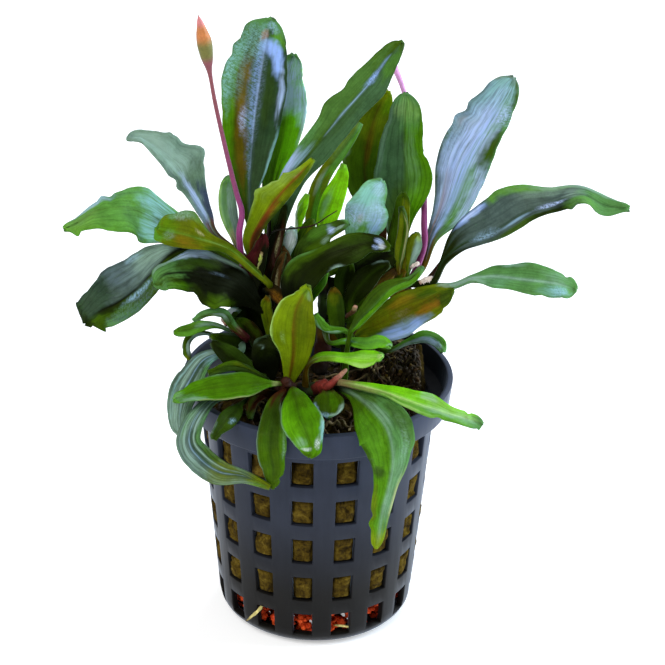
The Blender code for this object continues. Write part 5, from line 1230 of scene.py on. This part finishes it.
def woolTop(x, y):
    # height of the wool's top, with the block and the mounds that the roots have pushed up
    radius = math.hypot(x, y)
    height = woolShape["top"] - woolShape["slump"] * (radius / woolShape["inner"]) ** 2
    if radius > woolShape["shoulder"]:
        height -= (radius - woolShape["shoulder"]) ** 2 * woolShape["droop"]
    for moundX, moundY, rise, spread in woolShape["mounds"]:
        height += rise * math.exp(-((x - moundX) ** 2 + (y - moundY) ** 2) / spread ** 2)
    blockTop = woolShape["top"] + woolShape["block"][4] + 0.8 * grainAt(x * 0.4, y * 0.4, 8.0)
    return height + (blockTop - height) * blockShare(x, y)


rootShape = {"count": 300, "step": 0.9, "points": 11, "thickness": (0.1, 0.36), "reach": 19.4,
    "lowest": 42.4, "tones": ["bark", "bark", "brown", "peat", "peat", "peat", "tan"],
    # where roots start: the block's front and right edges, its top, and the rest of the wool
    "edgeX": (8.5, 19.0), "edgeY": (-2.0, 0.2), "blockX": (14.2, 3.6), "blockY": (4.5, 3.8),
    "woolX": (-3.0, 7.5), "woolY": (-6.0, 7.5), "fall": (0.15, 0.6), "bend": 1.3}


def makeRoot(index):
    # a third of the roots hang down the block's side, the others wander over the wool
    hanging = index % 3 == 0
    if hanging:
        x = random.uniform(*rootShape["edgeX"])
        y = random.uniform(*rootShape["edgeY"])
    elif index % 3 == 1:
        x = random.gauss(*rootShape["blockX"])
        y = random.gauss(*rootShape["blockY"])
    else:
        x = random.gauss(*rootShape["woolX"])
        y = random.gauss(*rootShape["woolY"])
    heading = random.uniform(0, math.tau)
    drift = random.uniform(-0.5, 0.5)
    start = woolShape["top"] + woolShape["block"][4] - random.uniform(-0.6, 3.0)
    fall = random.uniform(*rootShape["fall"])
    thickness = random.uniform(*rootShape["thickness"])
    route = []
    for point in range(rootShape["points"]):
        if hanging:
            drift += random.uniform(-0.35, 0.35)
            x += drift * 0.6
            y -= random.uniform(-0.1, 0.2)
            z = start - point * fall + random.uniform(-0.1, 0.1)
        else:
            heading += random.uniform(-rootShape["bend"], rootShape["bend"])
            x += math.cos(heading) * rootShape["step"]
            y += math.sin(heading) * rootShape["step"]
        radius = math.hypot(x, y)
        limit = rootShape["reach"] - random.uniform(0.0, 1.8)
        if radius > limit:
            x *= limit / radius
            y *= limit / radius
        if not hanging:
            z = woolTop(x, y) + random.uniform(0.0, 1.0)
        route.append((x, y, max(z, rootShape["lowest"]), thickness * random.uniform(0.5, 1.4)))
    tone = random.choice(rootShape["tones"])
    steps = [(0.0, tone), (0.3, "peat"), (0.7, tone), (1.0, "peat")]
    return makeTube(route, 6, 24, steps, 0.5, index * 2.0)


random.seed(11)
pieces = [makeRoot(index) for index in range(rootShape["count"])]
finishPiece(joined(pieces), "roots", stemMaterial)
print("roots made")


# Wool and plant food

pot = {"rim": 25.0, "height": 48.8, "wall": 1.2, "collarHeight": 5.0, "collarTaper": 0.6,
    "collarStep": 2.5, "collarFillet": 0.4, "base": 18.4, "baseRounding": 4.2,
    "rows": 5, "rowPitch": 8.45, "holeHeight": 5.3, "topHole": 41.5, "firstColumn": -6.77,
    # holes and bars round the pot, and faces across each
    "columns": 32, "parts": 4, "floorRings": (11.5, 8.0, 4.5), "softening": 0.16}
woolSheet = {"sides": 288, "rows": 170, "relief": 0.7, "grain": 0.45, "bulge": 1.05,
    # radius and height from the middle of the top over the side to the middle of the foot
    "profile": [(0.0, 46), (19.4, 41.6), (19.9, 38.5), (18.95, 24), (17.9, 12.6), (17.5, 10.4),
        (16.2, 8.6), (14.0, 7.2), (12.0, 5.8), (0.0, 5.6)]}


def holeShare(x, y, height):
    # 1 behind the middle of a hole of the pot, 0 behind the wall
    pitch = 720 / pot["columns"]
    half = pot["holeHeight"] / 2
    turned = (math.degrees(math.atan2(x, -y)) - pot["firstColumn"] + pitch / 2) % pitch - pitch / 2
    inRow = 0.0
    for row in range(pot["rows"]):
        middle = pot["topHole"] - row * pot["rowPitch"] - half
        inRow = max(inRow, smooth(half, half - 0.6, abs(height - middle)))
    return inRow * smooth(pitch / 4, pitch / 4 - 1.8, abs(turned))


def makeWool():
    # a sheet rolled up round the pot's axis along the profile, evenly by length
    profile = woolSheet["profile"]
    grain = woolSheet["grain"]
    piece = blank(woolSheet["sides"], woolSheet["rows"])
    lengths = [0.0]
    for (radius, height), (nextRadius, nextHeight) in zip(profile, profile[1:]):
        lengths.append(lengths[-1] + math.hypot(nextRadius - radius, nextHeight - height))
    for vertex in piece.data.vertices:
        angle = math.pi * (vertex.co.x + 1)
        reached = (1 - vertex.co.y) / 2 * lengths[-1]
        row = max(number for number in range(len(profile) - 1) if lengths[number] <= reached)
        part = (reached - lengths[row]) / (lengths[row + 1] - lengths[row])
        radius = profile[row][0] * (1 - part) + profile[row + 1][0] * part
        height = profile[row][1] * (1 - part) + profile[row + 1][1] * part
        x = math.cos(angle)
        y = math.sin(angle)
        rough = woolSheet["relief"] * (grainAt(x * radius * grain, y * radius * grain, height * grain)
            + 0.5 * grainAt(x * radius * grain * 3, y * radius * grain * 3, height * grain * 3))
        if row == 0:
            radius += 1.4 * blockShare(x * radius, y * radius) * smooth(14, 19, radius)
            height = woolTop(x * radius, y * radius)
        else:
            radius += woolSheet["bulge"] * holeShare(x, y, height)
        radius = max(radius + min(rough, 0.3) * min(radius / 3, 1), 0.0)
        vertex.co = Vector((x * radius, y * radius, height + rough * 0.6)) * mm
    closeSeams()
    return piece


# the wool's top, from 40.5 mm up, gets painted shade, down to 0.4 of its colour
woolMaterial = rampedMaterial("wool", 0.95, 0.05, 420.0, [(0.3, (14, 9, 3)), (0.42, (44, 33, 9)),
    (0.52, (76, 60, 16)), (0.62, (104, 86, 28)), (0.75, (136, 118, 62))], 0.7, top=(40.5, 44.0, 0.4))
finishPiece(makeWool(), "wool_plug", woolMaterial, ["wool"])

feedShape = {"count": 180, "grain": 1.1, "radius": 12.6, "low": 1.6, "high": 4.6, "sizes": (0.8, 1.8),
    # chips that have slid down against the wall, under a heap at the right of the front
    "chips": 820, "chipInner": 13.6, "chipOuter": 16.6, "chipLow": 1.8, "chipHigh": 8.6,
    "chipFlat": (0.5, 1.0), "heap": 2.6, "heapPlace": -48, "turnIn": 3.2}


def makeGrain(index):
    grain = seedGrain.copy()
    grain.data = seedGrain.data.copy()
    bpy.context.collection.objects.link(grain)
    angle = random.uniform(0, math.tau)
    flat = 1.0
    if index < feedShape["count"]:
        radius = feedShape["radius"] * math.sqrt(random.random())
        height = random.uniform(feedShape["low"], feedShape["high"])
    else:
        radius = random.uniform(feedShape["chipInner"], feedShape["chipOuter"])
        fromHeap = (angle - math.radians(feedShape["heapPlace"])) % math.tau
        heap = feedShape["chipHigh"] + feedShape["heap"] * math.exp(-fromHeap ** 2 * 4)
        heap += 0.8 * grainAt(math.cos(angle) * 3, math.sin(angle) * 3, 1.0)
        height = random.uniform(feedShape["chipLow"], heap)
        if height < feedShape["turnIn"]:
            # the pot's wall turns in below this height
            radius -= 0.8
        flat = random.uniform(*feedShape["chipFlat"])
    centre = Vector((radius * math.cos(angle), radius * math.sin(angle), height))
    size = random.uniform(*feedShape["sizes"])
    turn = Quaternion(Vector((random.uniform(-1, 1), random.uniform(-1, 1), 0.4)).normalized(),
        random.uniform(0, math.tau))
    for vertex in grain.data.vertices:
        place = vertex.co * size * (1 + 0.3 * grainAt(*(vertex.co * 3000 + centre)))
        place.z *= flat
        vertex.co = turn @ place + centre * mm
    return grain


feedMaterial = rampedMaterial("feed", 0.7, 0.2, 500.0, [(0.3, (110, 26, 6)), (0.45, (196, 58, 16)),
    (0.58, (230, 84, 30)), (0.75, (244, 140, 74))], 0.3)
lonely()
bpy.ops.mesh.primitive_ico_sphere_add(subdivisions=1, radius=0.5 * feedShape["grain"] * mm)
seedGrain = bpy.context.active_object
grains = [makeGrain(index) for index in range(feedShape["count"] + feedShape["chips"])]
bpy.data.objects.remove(seedGrain)
finishPiece(joined(grains), "plant_food", feedMaterial, ["feed"])
print("wool and plant food made")


# Pot

def potRings():
    # radius, height and whether the band below has holes, from the rim down
    rounding = pot["baseRounding"]
    foot = pot["height"] - pot["collarHeight"]
    top = pot["rim"] - pot["collarTaper"] - pot["collarStep"]

    def wallRadius(height):
        return pot["base"] + (top - pot["base"]) * (height - rounding) / (foot - rounding)

    rings = [(pot["rim"], pot["height"], False), (pot["rim"] - pot["collarTaper"], foot, False),
        (top, foot - pot["collarFillet"], False)]
    for row in range(pot["rows"]):
        upper = pot["topHole"] - row * pot["rowPitch"]
        lower = upper - pot["holeHeight"]
        rings.append((wallRadius(upper), upper, True))
        if lower < rounding:
            # the lowest holes go on into the rounding
            rings.append((pot["base"], rounding, True))
        else:
            rings.append((wallRadius(lower), lower, False))
    for degrees in (20, 35, 50, 65, 78, 90):
        turn = math.radians(degrees)
        rings.append((pot["base"] - rounding * (1 - math.cos(turn)), rounding * (1 - math.sin(turn)),
            False))
    for radius in pot["floorRings"]:
        rings.append((radius, 0.0, radius == pot["floorRings"][0]))
    return rings


def makePot():
    # rings extruded down from the rim, the holes' faces deleted, then a wall and soft edges
    rings = potRings()
    segments = pot["columns"] * pot["parts"]
    rimRadius, rimHeight = rings[0][:2]
    lonely()
    bpy.ops.mesh.primitive_circle_add(vertices=segments, radius=rimRadius * mm,
        location=(0, 0, rimHeight * mm))
    bpy.ops.object.transform_apply(location=True)
    piece = bpy.context.active_object
    mesh = piece.data
    # the first corner goes to the edge of a column
    start = math.radians(pot["firstColumn"] - 0.5 * 360 / pot["columns"])
    for number, vertex in enumerate(mesh.vertices):
        angle = start + math.tau * number / segments
        vertex.co = (rimRadius * mm * math.sin(angle), -rimRadius * mm * math.cos(angle), rimHeight * mm)
    bpy.ops.object.mode_set(mode="EDIT")
    bpy.ops.mesh.select_mode(type="EDGE")
    bpy.ops.mesh.select_all(action="SELECT")
    for upper, lower in zip(rings, rings[1:]):
        bpy.ops.mesh.extrude_region_move(
            TRANSFORM_OT_translate={"value": (0, 0, (lower[1] - upper[1]) * mm)})
        scale = lower[0] / upper[0]
        bpy.ops.transform.resize(value=(scale, scale, 1), center_override=(0, 0, lower[1] * mm))
    bpy.ops.mesh.edge_face_add()
    bpy.ops.object.mode_set(mode="OBJECT")
    # faces of the holes are picked by their height and their angle
    for part in (*mesh.vertices, *mesh.edges, *mesh.polygons):
        part.select = False
    bands = [(upper, lower) for upper, lower in zip(rings, rings[1:]) if upper[2]]
    for face in mesh.polygons:
        centre = face.center / mm
        radius = math.hypot(centre.x, centre.y)
        turned = (math.atan2(centre.x, -centre.y) - start) % math.tau
        column = int(turned / math.tau * pot["columns"])
        for (outer, high, _), (inner, low, _) in bands:
            inWall = low < centre.z < high and high - low > 1
            inFloor = high - low < 0.01 and centre.z < 0.01 and inner < radius < outer
            if (inWall or inFloor) and column % 2 == 0:
                face.select = True
                for corner in face.vertices:
                    mesh.vertices[corner].select = True
    bpy.ops.object.mode_set(mode="EDIT")
    bpy.ops.mesh.select_mode(type="FACE")
    bpy.ops.mesh.delete(type="FACE")
    bpy.ops.mesh.select_all(action="SELECT")
    bpy.ops.mesh.normals_make_consistent(inside=False)
    bpy.ops.object.mode_set(mode="OBJECT")
    wall = piece.modifiers.new("Wall", "SOLIDIFY")
    wall.thickness = pot["wall"] * mm
    wall.offset = -1.0
    wall.use_even_offset = True
    wall.use_quality_normals = True
    bpy.ops.object.modifier_apply(modifier="Wall")
    soften = piece.modifiers.new("Soften", "BEVEL")
    soften.width = pot["softening"] * mm
    soften.segments = 2
    soften.limit_method = "ANGLE"
    soften.angle_limit = math.radians(40)
    bpy.ops.object.modifier_apply(modifier="Soften")
    bpy.ops.object.shade_smooth_by_angle(angle=math.radians(35))
    return piece


# inside: how much colour the painted shade leaves on the collar's inner face
potLook = {"roughness": (0.3, 0.44), "inside": 0.18, "specular": 0.1, "edge": 0.3, "edgeSpread": 0.3,
    "edgeTint": (0.6, 0.75, 1.0, 1.0), "clouds": 70.0, "lines": 900.0, "lineStretch": 0.06, "fine": 1800.0,
    # height and colour: darker and browner towards the bottom, bluer towards the top
    "colours": [(0.0, (12, 9, 6)), (0.25, (22, 21, 20)), (0.6, (41, 45, 56)), (1.0, (50, 57, 74))]}


def potMaterial():
    material, tree, shader = newMaterial("pot_plastic", 0.4, potLook["specular"], {
        "Sheen Weight": potLook["edge"], "Sheen Roughness": potLook["edgeSpread"],
        "Sheen Tint": potLook["edgeTint"]})
    spot = objectSpot(tree)
    parts = addNode(tree, "ShaderNodeSeparateXYZ", {"Vector": spot}).outputs
    cloudy = noiseAt(tree, spot, potLook["clouds"], 3.0)
    fine = noiseAt(tree, spot, potLook["fine"], 4.0, 0.6)
    # fine upright lines
    stretched = addNode(tree, "ShaderNodeMapping", {"Vector": spot,
        "Scale": (1.0, 1.0, potLook["lineStretch"])}).outputs[0]
    lines = noiseAt(tree, stretched, potLook["lines"], 3.0, 0.6)
    colour = ramped(tree, times(tree, parts["Z"], 1 / (pot["height"] * mm)), potLook["colours"])
    shade = ranged(tree, timesPlus(tree, lines, 0.3, times(tree, cloudy, 0.7)), 0.3, 0.7, 0.82, 1.2)
    # painted shade: darker on the inner face of the collar, which lies in shade
    radius = sums(tree, "SQRT", timesPlus(tree, parts["X"], parts["X"],
        times(tree, parts["Y"], parts["Y"])))
    inner = (pot["rim"] - pot["wall"]) * mm
    foot = (pot["height"] - pot["collarHeight"]) * mm
    inside = sums(tree, "MAXIMUM",
        ranged(tree, radius, inner + 0.1 * mm, inner + 0.4 * mm, potLook["inside"], 1.0),
        ranged(tree, parts["Z"], foot - 0.2 * mm, foot, 1.0, 0.0))
    colour = shaded(tree, colour, times(tree, shade, inside))
    tree.links.new(colour, shader.inputs["Base Color"])
    tree.links.new(ranged(tree, lines, 0.3, 0.7, *potLook["roughness"]), shader.inputs["Roughness"])
    bumped(tree, shader, timesPlus(tree, fine, 0.5, lines), 0.2, 0.06 * mm)
    return material


finishPiece(makePot(), "net_pot", potMaterial(), ["pot"])
print("pot made")


# Floor, light and camera

stage = {"floor": (244, 245, 247), "floorSize": 4000, "glow": 0.4, "world": 0.28,
    "worldColour": (0.95, 0.98, 1.0, 1),
    # each light's power, width and height, place, what it faces, and colour
    "lights": {
        "key": (6.8, (700, 500), (-420, -520, 760), (0, 0, 60), (1.0, 0.98, 0.95)),
        "rim": (3.0, (600, 400), (380, 520, 620), (0, 0, 70), (0.85, 0.92, 1.0)),
        "side": (5.0, (300, 500), (560, 60, 260), (0, 0, 40), (0.74, 0.87, 1.0))}}

lonely()
bpy.ops.mesh.primitive_plane_add(size=stage["floorSize"] * mm, location=(0, 0, 0))
floor = bpy.context.active_object
floor.name = "floor"
floor.data.materials.append(newMaterial("floor", 0.9, 0.0, {
    "Base Color": (*linear(stage["floor"]), 1), "Emission Color": (1, 1, 1, 1),
    "Emission Strength": stage["glow"]})[0])


def place(thing, spot, aim):
    # puts a light or the camera in its spot and faces it to the aim
    bpy.context.scene.collection.objects.link(thing)
    thing.location = Vector(spot) * mm
    thing.rotation_mode = "QUATERNION"
    thing.rotation_quaternion = (Vector(aim) - Vector(spot)).to_track_quat("-Z", "Y")


for name, (power, size, spot, aim, colour) in stage["lights"].items():
    lamp = bpy.data.lights.new(name, "AREA")
    lamp.shape = "RECTANGLE"
    lamp.size = size[0] * mm
    lamp.size_y = size[1] * mm
    lamp.energy = power
    lamp.color = colour
    place(bpy.data.objects.new(name, lamp), spot, aim)

world = bpy.data.worlds.new("studio")
world.use_nodes = True
background = world.node_tree.nodes["Background"]
background.inputs["Color"].default_value = stage["worldColour"]
background.inputs["Strength"].default_value = stage["world"]
bpy.context.scene.world = world

viewing = {"place": (2.52, -403.9, 255.52), "aim": (2.52, 0.0, 57.11), "roll": 1.01, "lens": 132.58,
    "sensor": 36, "nearest": 0.01, "farthest": 20}
camera = bpy.data.objects.new("camera", bpy.data.cameras.new("camera"))
place(camera, viewing["place"], viewing["aim"])
camera.rotation_quaternion @= Quaternion((0, 0, 1), math.radians(viewing["roll"]))
camera.data.lens = viewing["lens"]
camera.data.sensor_width = viewing["sensor"]
camera.data.clip_start = viewing["nearest"]
camera.data.clip_end = viewing["farthest"]
bpy.context.scene.camera = camera

settings = bpy.context.scene.view_settings
settings.view_transform = "Standard"
settings.look = "None"
settings.exposure = 0.0
settings.gamma = 1.0

print("scene ready")
